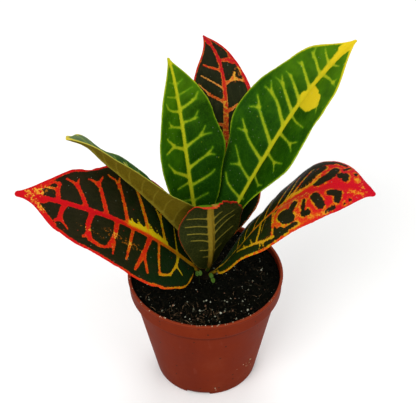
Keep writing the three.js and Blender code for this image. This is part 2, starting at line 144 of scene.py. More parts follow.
# Each leaf's markings. A vein is (warmth, width in mm, places as (v, u)) and tapers along its way.
# Warmth runs from 0, the reddest or palest of the leaf's vein colours, to 1, the yellowest. Midrib
# and margin give width and warmth at even steps from base to tip. Flush is colour that floods the
# blade, as (width, places), and islands are dark patches left in it. Gold specks gather in the
# gilding, broader multiplies the veins' widths, and fade is the share of warmth left at their ends.
MARKINGS = {
    "leaf_left": dict(
        midrib_width=(2.4, 2.6, 2.6, 2.8, 2.7, 3), midrib_warmth=(0.8, 0.8, 0.4, 0.1, 0.02, 0.02),
        margin_width=(1.7, 2, 2.2, 2.3, 2.6, 3), margin_warmth=(0.8, 0.7, 0.35, 0.16, 0.12, 0.1),
        broader=1.08, veins=[
            (0.18, 2.3, [(0.82, -0.05), (0.83, -0.35), (0.83, -0.62)]),
            (0.22, 1.3, [(0.83, -0.58), (0.85, -0.76)]),
            (0.30, 1.2, [(0.84, -0.42), (0.87, -0.58), (0.90, -0.72)]),
            (0.20, 2.2, [(0.70, -0.03), (0.73, -0.30), (0.76, -0.55)]),
            (0.25, 1.3, [(0.76, -0.53), (0.81, -0.75)]),
            (0.25, 1.2, [(0.76, -0.53), (0.76, -0.71)]),
            (0.28, 2.3, [(0.61, -0.04), (0.65, -0.35), (0.68, -0.61)]),
            (0.30, 1.5, [(0.68, -0.59), (0.72, -0.74)]),
            (0.30, 1.3, [(0.68, -0.59), (0.67, -0.74)]),
            (0.45, 2.1, [(0.51, -0.04), (0.55, -0.33), (0.59, -0.60)]),
            (0.42, 1.3, [(0.59, -0.58), (0.61, -0.69), (0.65, -0.78)]),
            (0.40, 1.2, [(0.59, -0.58), (0.60, -0.76)]),
            (0.62, 2.0, [(0.40, -0.05), (0.46, -0.40), (0.50, -0.62), (0.53, -0.78)]),
            (0.78, 1.8, [(0.30, -0.05), (0.36, -0.44)]),
            (0.75, 1.2, [(0.36, -0.42), (0.40, -0.53)]),
            (0.75, 1.2, [(0.36, -0.42), (0.36, -0.56), (0.39, -0.72)]),
            (0.95, 1.2, [(0.22, -0.05), (0.27, -0.52)]),
            (1.2, 3, [(0.50, -0.04), (0.44, -0.06), (0.37, -0.07), (0.29, -0.05)]),
            (0.9, 0.9, [(0.44, -0.06), (0.47, -0.17)]),
            (0.9, 0.9, [(0.37, -0.08), (0.41, -0.20)]),
            (0.9, 0.7, [(0.33, -0.06), (0.37, -0.20)]),
            (0.9, 0.7, [(0.48, -0.05), (0.50, -0.14)]),
            (0.14, 3, [(0.79, 0.04), (0.80, 0.35), (0.80, 0.60)]),
            (0.18, 2.4, [(0.80, 0.56), (0.82, 0.72)]),
            (0.22, 1.1, [(0.79, 0.62), (0.76, 0.76)]),
            (0.12, 3, [(0.67, 0.04), (0.68, 0.35), (0.675, 0.56), (0.66, 0.74)]),
            (0.2, 2.3, [(0.67, 0.62), (0.69, 0.74)]),
            (0.30, 2, [(0.66, 0.74), (0.61, 0.77), (0.57, 0.66)]),
            (0.26, 2.8, [(0.56, 0.04), (0.56, 0.33), (0.58, 0.64)]),
            (0.30, 1.3, [(0.56, 0.52), (0.56, 0.80)]),
            (0.42, 1.9, [(0.48, 0.04), (0.49, 0.38), (0.50, 0.76)]),
            (0.32, 3, [(0.39, 0.04), (0.41, 0.30), (0.42, 0.48)]),
            (0.40, 2.6, [(0.42, 0.46), (0.45, 0.84)]),
            (0.40, 2, [(0.42, 0.46), (0.39, 0.79)]),
            (0.55, 1.7, [(0.34, 0.06), (0.34, 0.44), (0.33, 0.74)]),
            (0.75, 1.6, [(0.33, 0.73), (0.27, 0.66)]),
            (0.92, 2.1, [(0.21, 0.04), (0.23, 0.41)]),
            (0.85, 1.5, [(0.23, 0.39), (0.27, 0.66)]),
            (0.95, 1.2, [(0.23, 0.39), (0.18, 0.58)]),
        ],
        flush=[(13, [(0.97, 0), (1.05, 0)]), (4.5, [(0.88, 0.1), (0.93, 0.3)]),
               (4, [(0.9, -0.3), (0.95, -0.1)]), (2.8, [(0.94, 0.5), (0.88, 0.78), (0.82, 0.9)]),
               (2, [(0.93, -0.55), (0.86, -0.8)])],
        flush_warmth=(0.8, 0.6, 0.5, 0.3, 0.2, 0.05), islands=[],
        gilding=[(5, [(0.945, -0.25), (0.87, -0.5)]), (3.4, [(0.93, 0.35), (0.87, 0.7)]),
                 (2.4, [(0.72, 0.5), (0.6, 0.55)]), (5, [(0.6, 0.34), (0.53, 0.4), (0.45, 0.42)])]),
    "leaf_left_upper": dict(
        midrib_width=(2.4, 2, 1.7, 1.5, 1.3, 1), midrib_warmth=(0.4, 0.4, 0.4, 0.5, 0.6, 0.8),
        margin_width=(0.8, 0.8, 0.8, 0.8, 0.9, 1.2), margin_warmth=(0.3, 0.3, 0.3, 0.35, 0.5, 0.9),
        veins=[(0.3, 0.9, [(v, s * 0.03), (v + 0.05, s * 0.4), (v + 0.085, s * 0.82)])
               for v in np.arange(0.18, 0.86, 0.072) for s in (-1, 1)]
        + [(0.6, 1.5, [(0.62, -0.62), (0.64, -0.74)])],
        flush=[(2.5, [(0.98, 0), (1, 0)])], flush_warmth=(0.5, 0.9), islands=[]),
    "leaf_upright_left": dict(
        midrib_width=(3.1, 2.8, 2.5, 2.3, 2, 1.5), midrib_warmth=(0.4, 0.45, 0.5, 0.5, 0.5, 0.6),
        margin_width=(0.9, 0.9, 0.9, 0.9, 0.9, 1), margin_warmth=(0.2, 0.25, 0.25, 0.25, 0.3, 0.5),
        fade=0.45, broader=1.2, veins=[
            (0.25, 0.7, [(0.87, 0.04), (0.89, 0.60)]),
            (0.28, 0.9, [(0.80, 0.04), (0.83, 0.70)]),
            (0.35, 1.2, [(0.73, 0.04), (0.76, 0.51), (0.80, 0.75)]),
            (0.35, 1.2, [(0.65, 0.04), (0.68, 0.50)]),
            (0.30, 0.7, [(0.68, 0.48), (0.71, 0.60)]),
            (0.30, 0.7, [(0.68, 0.48), (0.68, 0.64)]),
            (0.48, 1.7, [(0.54, 0.04), (0.58, 0.46)]),
            (0.42, 1.3, [(0.58, 0.43), (0.63, 0.70)]),
            (0.42, 1.3, [(0.58, 0.43), (0.56, 0.76)]),
            (0.48, 1.7, [(0.40, 0.04), (0.46, 0.58)]),
            (0.38, 1.0, [(0.46, 0.56), (0.51, 0.74)]),
            (0.30, 1.1, [(0.37, 0.06), (0.37, 0.62)]),
            (0.25, 0.8, [(0.28, 0.06), (0.30, 0.55)]),
            (0.20, 0.7, [(0.86, -0.05), (0.88, -0.5)]),
            (0.20, 0.8, [(0.81, -0.05), (0.83, -0.74)]),
            (0.35, 1.4, [(0.74, -0.04), (0.77, -0.55), (0.80, -0.81)]),
            (0.30, 0.7, [(0.77, -0.5), (0.77, -0.66)]),
            (0.30, 1.2, [(0.67, -0.04), (0.68, -0.48)]),
            (0.25, 0.7, [(0.68, -0.4), (0.71, -0.55)]),
            (0.38, 1.5, [(0.55, -0.04), (0.59, -0.46)]),
            (0.30, 0.8, [(0.59, -0.44), (0.63, -0.64)]),
            (0.30, 0.8, [(0.59, -0.44), (0.59, -0.72)]),
            (0.40, 1.5, [(0.44, -0.04), (0.49, -0.57)]),
            (0.32, 0.9, [(0.49, -0.55), (0.52, -0.68)]),
            (0.32, 0.9, [(0.49, -0.55), (0.48, -0.73)]),
            (0.30, 1.3, [(0.35, -0.04), (0.38, -0.59), (0.40, -0.76)]),
            (0.22, 0.9, [(0.27, -0.05), (0.29, -0.56)]),
            (0.20, 0.8, [(0.18, -0.05), (0.20, -0.5)]),
        ],
        flush=[(2.6, [(0.97, 0), (1, 0)])], flush_warmth=(0.4, 0.6), islands=[]),
    "leaf_back": dict(
        midrib_width=(2.4, 3.2, 4, 3.1, 2.1, 1.7), midrib_warmth=(0.5, 0.3, 0.12, 0.4, 0.1, 0.02),
        margin_width=(1.2, 1.2, 1.2, 1.3, 1.5, 2), margin_warmth=(0.6, 0.55, 0.4, 0.15, 0.1, 0.1),
        veins=[
            (0.20, 1.5, [(0.83, 0.05), (0.85, 0.40), (0.87, 0.70)]),
            (0.75, 1.0, [(0.75, 0.05), (0.79, 0.44), (0.82, 0.75)]),
            (0.50, 1.8, [(0.69, 0.05), (0.73, 0.49)]),
            (0.6, 0.8, [(0.73, 0.46), (0.78, 0.82)]),
            (0.50, 1.8, [(0.59, 0.05), (0.61, 0.5), (0.65, 0.8)]),
            (0.50, 1.5, [(0.49, 0.05), (0.52, 0.55)]),
            (0.60, 1.5, [(0.39, 0.05), (0.42, 0.55)]),
            (0.70, 1.2, [(0.29, 0.05), (0.32, 0.5)]),
            (0.10, 2.2, [(0.87, -0.05), (0.87, -0.50)]),
            (0.12, 1.4, [(0.87, -0.45), (0.855, -0.8)]),
            (0.1, 3, [(0.868, -0.66), (0.86, -0.84)]),
            (0.06, 1.6, [(0.89, -0.9), (0.86, -0.92), (0.82, -0.93)]),
            (0.1, 2.4, [(0.81, -0.95), (0.75, -0.93), (0.68, -0.97)]),
            (0.55, 1.9, [(0.77, -0.05), (0.79, -0.46)]),
            (0.7, 1.5, [(0.79, -0.42), (0.815, -0.62)]),
            (0.6, 1.6, [(0.79, -0.42), (0.78, -0.86)]),
            (0.50, 1.9, [(0.65, -0.05), (0.68, -0.44)]),
            (0.45, 1.3, [(0.68, -0.42), (0.70, -0.8)]),
            (0.50, 1.6, [(0.54, -0.05), (0.57, -0.6)]),
            (0.60, 1.5, [(0.43, -0.05), (0.46, -0.6)]),
            (0.70, 1.4, [(0.32, -0.05), (0.35, -0.6)]),
            (0.80, 1.2, [(0.22, -0.05), (0.25, -0.5)]),
        ],
        flush=[(3.4, [(0.96, 0), (1, 0)])], flush_warmth=(0.5, 0.4, 0.3, 0.1, 0.08), islands=[],
        gilding=[(6, [(0.79, -0.5), (0.82, -0.75)]), (3, [(0.7, 0.02), (0.52, 0)]),
                 (4, [(0.78, 0.85), (0.66, 0.8)])]),
    "leaf_right_upper": dict(
        midrib_width=(3.5, 3.4, 3.2, 3.1, 3.1, 6), midrib_warmth=(0.45, 0.5, 0.58, 0.66, 0.8, 1),
        margin_width=(1.1, 1.1, 1.1, 1.1, 1.2, 1.8), margin_warmth=(0.25, 0.25, 0.25, 0.3, 0.5, 1),
        fade=0.45, broader=1.2, veins=[
            (0.50, 1.2, [(0.87, 0.04), (0.885, 0.35), (0.90, 0.72)]),
            (0.45, 1.4, [(0.82, 0.03), (0.85, 0.49), (0.86, 0.76)]),
            (0.30, 0.7, [(0.85, 0.60), (0.88, 0.88)]),
            (0.45, 1.5, [(0.76, 0.03), (0.79, 0.40), (0.81, 0.70)]),
            (0.30, 0.7, [(0.805, 0.62), (0.80, 0.78)]),
            (0.42, 1.6, [(0.70, 0.03), (0.73, 0.35), (0.75, 0.62)]),
            (0.30, 0.7, [(0.75, 0.60), (0.75, 0.76)]),
            (0.40, 1.6, [(0.65, 0.03), (0.69, 0.39), (0.71, 0.60)]),
            (0.32, 0.8, [(0.71, 0.58), (0.73, 0.75)]),
            (0.32, 0.8, [(0.71, 0.58), (0.71, 0.80)]),
            (0.40, 1.7, [(0.59, 0.03), (0.64, 0.36), (0.66, 0.62)]),
            (0.32, 0.9, [(0.66, 0.60), (0.69, 0.80)]),
            (0.32, 0.9, [(0.66, 0.60), (0.66, 0.80)]),
            (0.38, 1.7, [(0.50, 0.03), (0.55, 0.35), (0.59, 0.64)]),
            (0.32, 1.0, [(0.59, 0.61), (0.62, 0.80)]),
            (0.32, 1.0, [(0.59, 0.61), (0.57, 0.78)]),
            (0.36, 1.6, [(0.43, 0.03), (0.46, 0.43), (0.49, 0.64)]),
            (0.30, 0.9, [(0.49, 0.62), (0.52, 0.78)]),
            (0.30, 0.9, [(0.49, 0.62), (0.48, 0.80)]),
            (0.34, 1.4, [(0.34, 0.03), (0.37, 0.51)]),
            (0.30, 0.8, [(0.37, 0.48), (0.42, 0.78)]),
            (0.30, 0.8, [(0.37, 0.48), (0.35, 0.72)]),
            (0.30, 1.2, [(0.26, 0.03), (0.28, 0.56), (0.31, 0.76)]),
            (0.55, 1.0, [(0.88, -0.08), (0.90, -0.54)]),
            (0.45, 1.4, [(0.83, -0.04), (0.845, -0.4), (0.85, -0.70)]),
            (0.35, 0.8, [(0.85, -0.66), (0.87, -0.78)]),
            (0.35, 0.8, [(0.85, -0.66), (0.85, -0.84)]),
            (0.5, 0.8, [(0.76, -0.62), (0.735, -0.78)]),
            (0.38, 1.1, [(0.64, -0.05), (0.645, -0.35), (0.66, -0.70)]),
            (0.42, 1.5, [(0.56, -0.04), (0.57, -0.3), (0.58, -0.60)]),
            (0.35, 0.9, [(0.58, -0.57), (0.61, -0.78)]),
            (0.35, 0.9, [(0.58, -0.57), (0.57, -0.76)]),
            (0.40, 1.5, [(0.47, -0.04), (0.475, -0.28), (0.48, -0.53)]),
            (0.35, 0.9, [(0.48, -0.50), (0.51, -0.74)]),
            (0.35, 0.9, [(0.48, -0.50), (0.46, -0.72)]),
            (0.34, 1.2, [(0.37, -0.05), (0.37, -0.45), (0.37, -0.70)]),
            (0.30, 0.8, [(0.37, -0.66), (0.385, -0.80)]),
            (0.30, 1.0, [(0.27, -0.05), (0.28, -0.5)]),
        ],
        flush=[(9, [(0.975, 0.05), (1.05, 0)]), (7, [(0.945, 0.05), (0.97, 0)]),
               (5.2, [(0.91, 0), (0.94, 0)]), (8, [(0.725, -0.04), (0.742, -0.4)]),
               (6.5, [(0.745, -0.1), (0.765, -0.5)]),
               (4.5, [(0.7, 0), (0.715, -0.42)]), (4, [(0.77, -0.04), (0.775, -0.34)]),
               (3.5, [(0.722, -0.5), (0.755, -0.62)])],
        flush_warmth=(0.5, 0.6, 0.7, 0.8, 1, 1), islands=[]),
    "leaf_right": dict(
        midrib_width=(1.4, 1.3, 2.2, 2.8, 3.2, 3.6), midrib_warmth=(0.8, 0.85, 0.62, 0.25, 0.08, 0.05),
        margin_width=(1.7, 1.9, 2.3, 2.4, 2.6, 2.8), margin_warmth=(0.66, 0.66, 0.6, 0.36, 0.08, 0.02),
        veins=[
            (0.50, 1.1, [(0.57, 0.04), (0.62, 0.31), (0.655, 0.65)]),
            (0.40, 1.4, [(0.60, 0.04), (0.66, 0.30), (0.72, 0.66)]),
            (0.25, 2.0, [(0.68, 0.04), (0.74, 0.28), (0.79, 0.60)]),
            (0.55, 0.9, [(0.52, 0.04), (0.58, 0.45), (0.62, 0.8)]),
            (0.65, 1.0, [(0.45, 0.04), (0.48, 0.49), (0.507, 0.90)]),
            (0.75, 0.9, [(0.37, 0.04), (0.40, 0.45), (0.42, 0.8)]),
            (0.85, 0.9, [(0.30, 0.04), (0.313, 0.41), (0.33, 0.71)]),
            (0.88, 0.7, [(0.24, 0.04), (0.25, 0.5)]),
            (0.25, 1.2, [(0.60, -0.04), (0.605, -0.30)]),
            (0.45, 2.4, [(0.515, -0.03), (0.525, -0.35), (0.522, -0.62), (0.51, -0.84)]),
            (0.88, 1.7, [(0.43, -0.03), (0.44, -0.39), (0.424, -0.62), (0.42, -0.74)]),
            (0.95, 1.5, [(0.52, -0.84), (0.47, -0.80), (0.42, -0.73), (0.38, -0.70), (0.33, -0.62),
                         (0.28, -0.48)]),
            (0.95, 0.9, [(0.395, -0.70), (0.38, -0.48)]),
            (0.95, 0.9, [(0.44, -0.76), (0.43, -0.90)]),
            (0.9, 0.8, [(0.35, -0.65), (0.33, -0.46)]),
            (0.9, 0.8, [(0.45, -0.78), (0.455, -0.92)]),
            (0.8, 1.4, [(0.36, -0.03), (0.30, -0.20), (0.27, -0.42)]),
            (0.9, 0.5, [(0.47, -0.12), (0.455, -0.5)]),
            (0.88, 3, [(0.89, -0.17), (0.923, -0.31), (0.95, -0.34)]),
            (0.85, 2.6, [(0.70, -0.86), (0.73, -0.85), (0.77, -0.89)]),
            (0.8, 2.2, [(0.60, 0.08), (0.69, 0.11), (0.735, 0.22)]),
            (0.8, 1.6, [(0.64, -0.93), (0.68, -0.90)]),
            (0.8, 2.2, [(0.905, 0.36), (0.91, 0.6)]),
        ],
        flush=[(27, [(1.02, -0.5), (0.63, -0.5)]), (24, [(1.02, 0.4), (0.87, 0.45)]),
               (13, [(0.83, 0.45), (0.78, 0.45)])],
        flush_warmth=(0.9, 0.85, 0.68, 0.42, 0.14, 0.02),
        gilding=[(3.4, [(0.89, -0.2), (0.955, -0.36)]), (3, [(0.7, -0.86), (0.8, -0.93)]),
                 (3.4, [(0.6, 0.1), (0.7, 0.2), (0.75, 0.4)]), (3, [(0.9, 0.5), (0.94, 0.25)]),
                 (3, [(0.56, -0.1), (0.7, -0.12)]), (3, [(0.66, -0.4), (0.63, -0.9)]),
                 (3, [(0.5, -0.8), (0.4, -0.72)])],
        islands=[
            (5, [(0.745, 0.14), (0.793, 0.31), (0.812, 0.50)]),
            (3.8, [(0.647, 0.15), (0.707, 0.30), (0.763, 0.62)]),
            (4, [(0.840, 0.36), (0.858, 0.37)]), (3, [(0.860, 0.26), (0.863, 0.25)]),
            (1.9, [(0.823, 0.85), (0.850, 0.84)]), (1.9, [(0.850, 0.61), (0.867, 0.79)]),
            (1.6, [(0.897, 0.71), (0.897, 0.65)]), (1.4, [(0.907, 0.44), (0.910, 0.46)]),
            (5.6, [(0.735, -0.31), (0.760, -0.60)]),
            (4, [(0.803, -0.26), (0.827, -0.29), (0.843, -0.34)]),
            (4, [(0.843, -0.32), (0.840, -0.57)]), (2.4, [(0.827, -0.80), (0.790, -0.90)]),
            (1.6, [(0.897, -0.70), (0.900, -0.72)]), (1.3, [(0.875, -0.84), (0.880, -0.81)]),
            (2.2, [(0.683, -0.33), (0.670, -0.72)]), (3.6, [(0.672, -0.71), (0.694, -0.71)]),
            (8.6, [(0.585, -0.47), (0.597, -0.61)]), (4.2, [(0.613, -0.47), (0.635, -0.29)]),
            (4.2, [(0.557, -0.79), (0.537, -0.86)]),
            (2.4, [(0.630, -0.85), (0.603, -0.86), (0.580, -0.86)]),
        ]),
    "leaf_front": dict(
        midrib_width=(3, 3.6, 4, 4, 3.6, 3), midrib_warmth=(0.2, 0.5, 0.55, 0.55, 0.55, 0.5),
        margin_width=(0.5, 0.5, 0.5, 0.6, 0.8, 1.2), margin_warmth=(0.55, 0.5, 0.36, 0.25, 0.2, 0.1),
        veins=[
            (0.02, 2, [(0.88, 0.98), (0.95, 0.97), (0.99, 0.8)]),
            (0.7, 0.8, [(0.71, -0.04), (0.745, -0.45), (0.76, -0.84)]),
            (0.7, 0.8, [(0.62, -0.04), (0.66, -0.40), (0.68, -0.80)]),
            (0.7, 0.8, [(0.53, -0.05), (0.58, -0.38), (0.61, -0.74)]),
            (0.7, 0.8, [(0.44, -0.05), (0.50, -0.35), (0.54, -0.68)]),
            (0.7, 0.7, [(0.34, -0.06), (0.39, -0.50)]),
            (0.7, 0.7, [(0.25, -0.06), (0.29, -0.45)]),
            (0.7, 0.8, [(0.69, 0.05), (0.78, 0.36)]),
            (0.7, 0.8, [(0.60, 0.05), (0.69, 0.40), (0.76, 0.72)]),
            (0.72, 1.0, [(0.51, 0.05), (0.60, 0.38), (0.68, 0.74)]),
            (0.7, 0.8, [(0.39, 0.06), (0.46, 0.38), (0.53, 0.74)]),
            (0.7, 0.7, [(0.28, 0.06), (0.36, 0.5)]),
        ],
        flush=[], flush_warmth=(0.2, 0.2), islands=[]),
}


def paint(red, green, blue):
    """A screen colour from 0 to 255 as the linear colour that a shader takes."""
    screen = np.array((red, green, blue)) / 255
    linear = np.where(screen <= 0.04045, screen / 12.92, ((screen + 0.055) / 1.055) ** 2.4)
    return (*linear.tolist(), 1)


def paints(*colours):
    """The colours of a ramp, from its start to its end."""
    return [paint(*colour) for colour in colours]


# Colours of the leaves. Veins runs from warmth 0 to 1, and lamina from shade to light; base and tip
# tint the lamina's two ends, halo lies round the veins, network is the faint net between them, and
# gold the specks. Under and under veins belong to the leaf's back.
RED_LEAF = dict(
    veins=paints((180, 6, 24), (186, 22, 12), (190, 56, 10), (194, 108, 10), (190, 166, 10)),
    lamina=paints((14, 16, 5), (27, 27, 10), (40, 36, 18)), base=paint(8, 34, 8), tip=paint(34, 27, 17),
    halo=paint(34, 22, 6), network=paint(44, 44, 20), gold=paint(222, 168, 48),
    under=paints((66, 34, 22), (96, 56, 34)), under_veins=paints((150, 40, 34), (170, 110, 60)))
BACK_LEAF = dict(
    RED_LEAF, base=paint(14, 36, 12), tip=paint(34, 31, 22),
    veins=paints((178, 14, 36), (186, 36, 26), (198, 74, 22), (206, 108, 40), (206, 138, 60)),
    lamina=paints((18, 24, 10), (33, 38, 19), (62, 64, 34)))
RIGHT_LEAF = dict(
    RED_LEAF, base=paint(24, 46, 8), gold=paint(212, 142, 34),
    veins=paints((180, 8, 34), (188, 20, 20), (194, 56, 14), (198, 106, 14), (184, 148, 14)))
GREEN_LEAF = dict(
    veins=paints((88, 130, 16), (142, 160, 22), (176, 176, 24), (192, 178, 24), (216, 188, 26)),
    lamina=paints((18, 50, 1), (29, 70, 2), (50, 94, 3)), base=paint(18, 56, 2), tip=paint(80, 122, 4),
    halo=paint(60, 112, 4), network=paint(60, 108, 8), gold=paint(230, 208, 70),
    under=paints((64, 88, 24), (94, 120, 38)), under_veins=paints((140, 156, 60), (176, 174, 66)))
# The bronze-backed leaf's pale grey-green tip tint is a painted grey sheen over the end of its blade.
BRONZE_LEAF = dict(
    GREEN_LEAF, tip=paint(108, 124, 86),
    veins=paints((104, 130, 40), (150, 156, 56), (182, 174, 70), (196, 182, 66), (210, 186, 50)),
    lamina=paints((24, 52, 8), (38, 74, 16), (62, 98, 30)), under=paints((78, 66, 6), (104, 90, 14)),
    under_veins=paints((118, 104, 24), (138, 126, 40), (156, 148, 54)))
OLIVE_LEAF = dict(
    GREEN_LEAF,
    veins=paints((176, 30, 22), (190, 70, 26), (140, 124, 48), (150, 140, 60), (160, 150, 70)),
    lamina=paints((14, 36, 8), (24, 52, 14), (40, 70, 20)), under=paints((22, 28, 4), (38, 42, 10)),
    under_veins=paints((150, 14, 10), (104, 40, 16), (140, 112, 26), (118, 112, 40), (122, 120, 54)))

# How each kind of leaf is coloured: how ragged and soft its veins' edges are, how much warmer their
# rim is and how wide, how mottled their warmth is, and its share of gold specks
RED_MARKS = dict(ragged=0.55, soft=0.18, fringe=0.17, mottle=0.36, gold=0.75)
BACK_MARKS = dict(RED_MARKS, ragged=0.65, fringe=0.4, mottle=0.5)
RIGHT_MARKS = dict(RED_MARKS, ragged=0.75, soft=0.26, fringe=0.42, rim_width=1.7, mottle=0.55)
GREEN_MARKS = dict(ragged=0.34, soft=0.45, fringe=-0.1, mottle=0.1)


def smooth_step(value, low, high):
    """3t² - 2t³, where t runs from 0 at low to 1 at high."""
    t = np.clip((value - low) / (high - low), 0, 1)
    return t * t * (3 - 2 * t)


def bell(value, middle, width):
    """exp(-((value - middle) / width)²): 1 at the middle, fading to both sides."""
    return np.exp(-(((value - middle) / width) ** 2))


def smooth_through(values, at):
    """A curve through values at even steps, read at places from 0 to 1: on each step the cubic whose
    slope at either end is half the difference of that end's two neighbours."""
    values = np.asarray(values, float)
    last = len(values) - 1
    place = np.clip(at, 0, 1) * last
    step = np.minimum(place.astype(int), last - 1)
    t = place - step
    p, q, r, s = (values[np.clip(step + k, 0, last)] for k in (-1, 0, 1, 2))
    return q + 0.5 * t * (r - p + t * (2 * p - 5 * q + 4 * r - s + t * (3 * q - p - 3 * r + s)))


def even_steps(values, at):
    """Straight lines between values at even steps from 0 to 1."""
    return np.interp(at, np.linspace(0, 1, len(values)), values)


def value_noise(x, y, seed):
    """Noise from 0 to 1: random heights on a unit lattice, joined by 3t² - 2t³ along x and y. The
    lattice starts again after its 97 places."""
    side = 97
    lattice = np.random.default_rng(seed).random((side, side))
    i, j = np.floor(x).astype(int), np.floor(y).astype(int)
    tx, ty = smooth_step(x - i, 0, 1), smooth_step(y - j, 0, 1)
    corner = [[lattice[(i + a) % side, (j + b) % side] for b in (0, 1)] for a in (0, 1)]
    low = corner[0][0] * (1 - ty) + corner[0][1] * ty
    high = corner[1][0] * (1 - ty) + corner[1][1] * ty
    return low * (1 - tx) + high * tx


def layered_noise(x, y, seed, layers):
    """Sum of layers of noise, each twice as fine and half as strong as the last, from 0 to 1."""
    total = sum(value_noise(x * 2**k, y * 2**k, seed + k) / 2**k for k in range(layers))
    return total / sum(1 / 2**k for k in range(layers))


# Faces and meshes

def grid_faces(rows, columns, first=0, round_about=False):
    """Quads between neighbouring rows and columns of a grid of points, stored row by row. They face
    along (row step) x (column step). A round grid joins its last column to its first."""
    across = columns if round_about else columns - 1
    row, column = np.meshgrid(np.arange(rows - 1), np.arange(across), indexing="ij")
    beside = (column + 1) % columns
    corners = [row * columns + column, (row + 1) * columns + column,
               (row + 1) * columns + beside, row * columns + beside]
    return first + np.stack(corners, -1).reshape(-1, 4)


def sheet_faces(rows, columns, first=0):
    """Faces of a closed sheet of two grids, the upper skin's points and then the under skin's. The
    rim is the band of quads between their outer loops."""
    count = rows * columns
    upper = grid_faces(rows, columns, first)
    lower = grid_faces(rows, columns, first + count)[:, ::-1]
    number = first + np.arange(2 * count).reshape(2, rows, columns)
    start, left = number[:, 0, :], number[:, 1:, -1]
    end, right = number[:, -1, -2::-1], number[:, -2:0:-1, 0]
    loop = np.concatenate([start, left, end, right], axis=1)
    after = np.roll(loop, -1, axis=1)
    rim = np.stack([loop[0], after[0], after[1], loop[1]], -1)
    return upper, lower, rim


def round_faces(rows, sides):
    """Faces of a closed round body whose points are rings from below to above, and then the pole
    below and the pole above: quads between rings, and a fan of triangles to each pole."""
    step = np.arange(sides)
    beside = (step + 1) % sides
    pole, last = np.full(sides, rows * sides), (rows - 1) * sides
    low = np.stack([pole, beside, step], -1)
    high = np.stack([pole + 1, last + step, last + beside], -1)
    return grid_faces(rows, sides, 0, True)[:, ::-1].tolist() + low.tolist() + high.tolist()


def plain_mesh(name, points, faces):
    """An object from points in mm and faces, put into the scene."""
    mesh = bpy.data.meshes.new(name)
    mesh.from_pydata((np.asarray(points).reshape(-1, 3) * MM).tolist(), [], faces)
    piece = bpy.data.objects.new(name, mesh)
    bpy.context.scene.collection.objects.link(piece)
    return piece


def make_piece(name, points, faces, node, materials, fields=None, face_materials=None):
    """A smooth piece of the plant or pot, with one number or vector per point for each field. It
    takes the place of the node, if there is one."""
    piece = plain_mesh(name, points, faces)
    mesh = piece.data
    mesh.polygons.foreach_set("use_smooth", np.ones(len(mesh.polygons), bool))
    for field, values in (fields or {}).items():
        values = np.asarray(values, np.float32)
        kind, slot_name = ("FLOAT_VECTOR", "vector") if values.ndim == 2 else ("FLOAT", "value")
        mesh.attributes.new(field, kind, "POINT").data.foreach_set(slot_name, values.ravel())
    for material in materials:
        mesh.materials.append(material)
    if face_materials is not None:
        mesh.polygons.foreach_set("material_index", face_materials)
    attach(piece, "root")
    if node:
        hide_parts(node)
    return piece


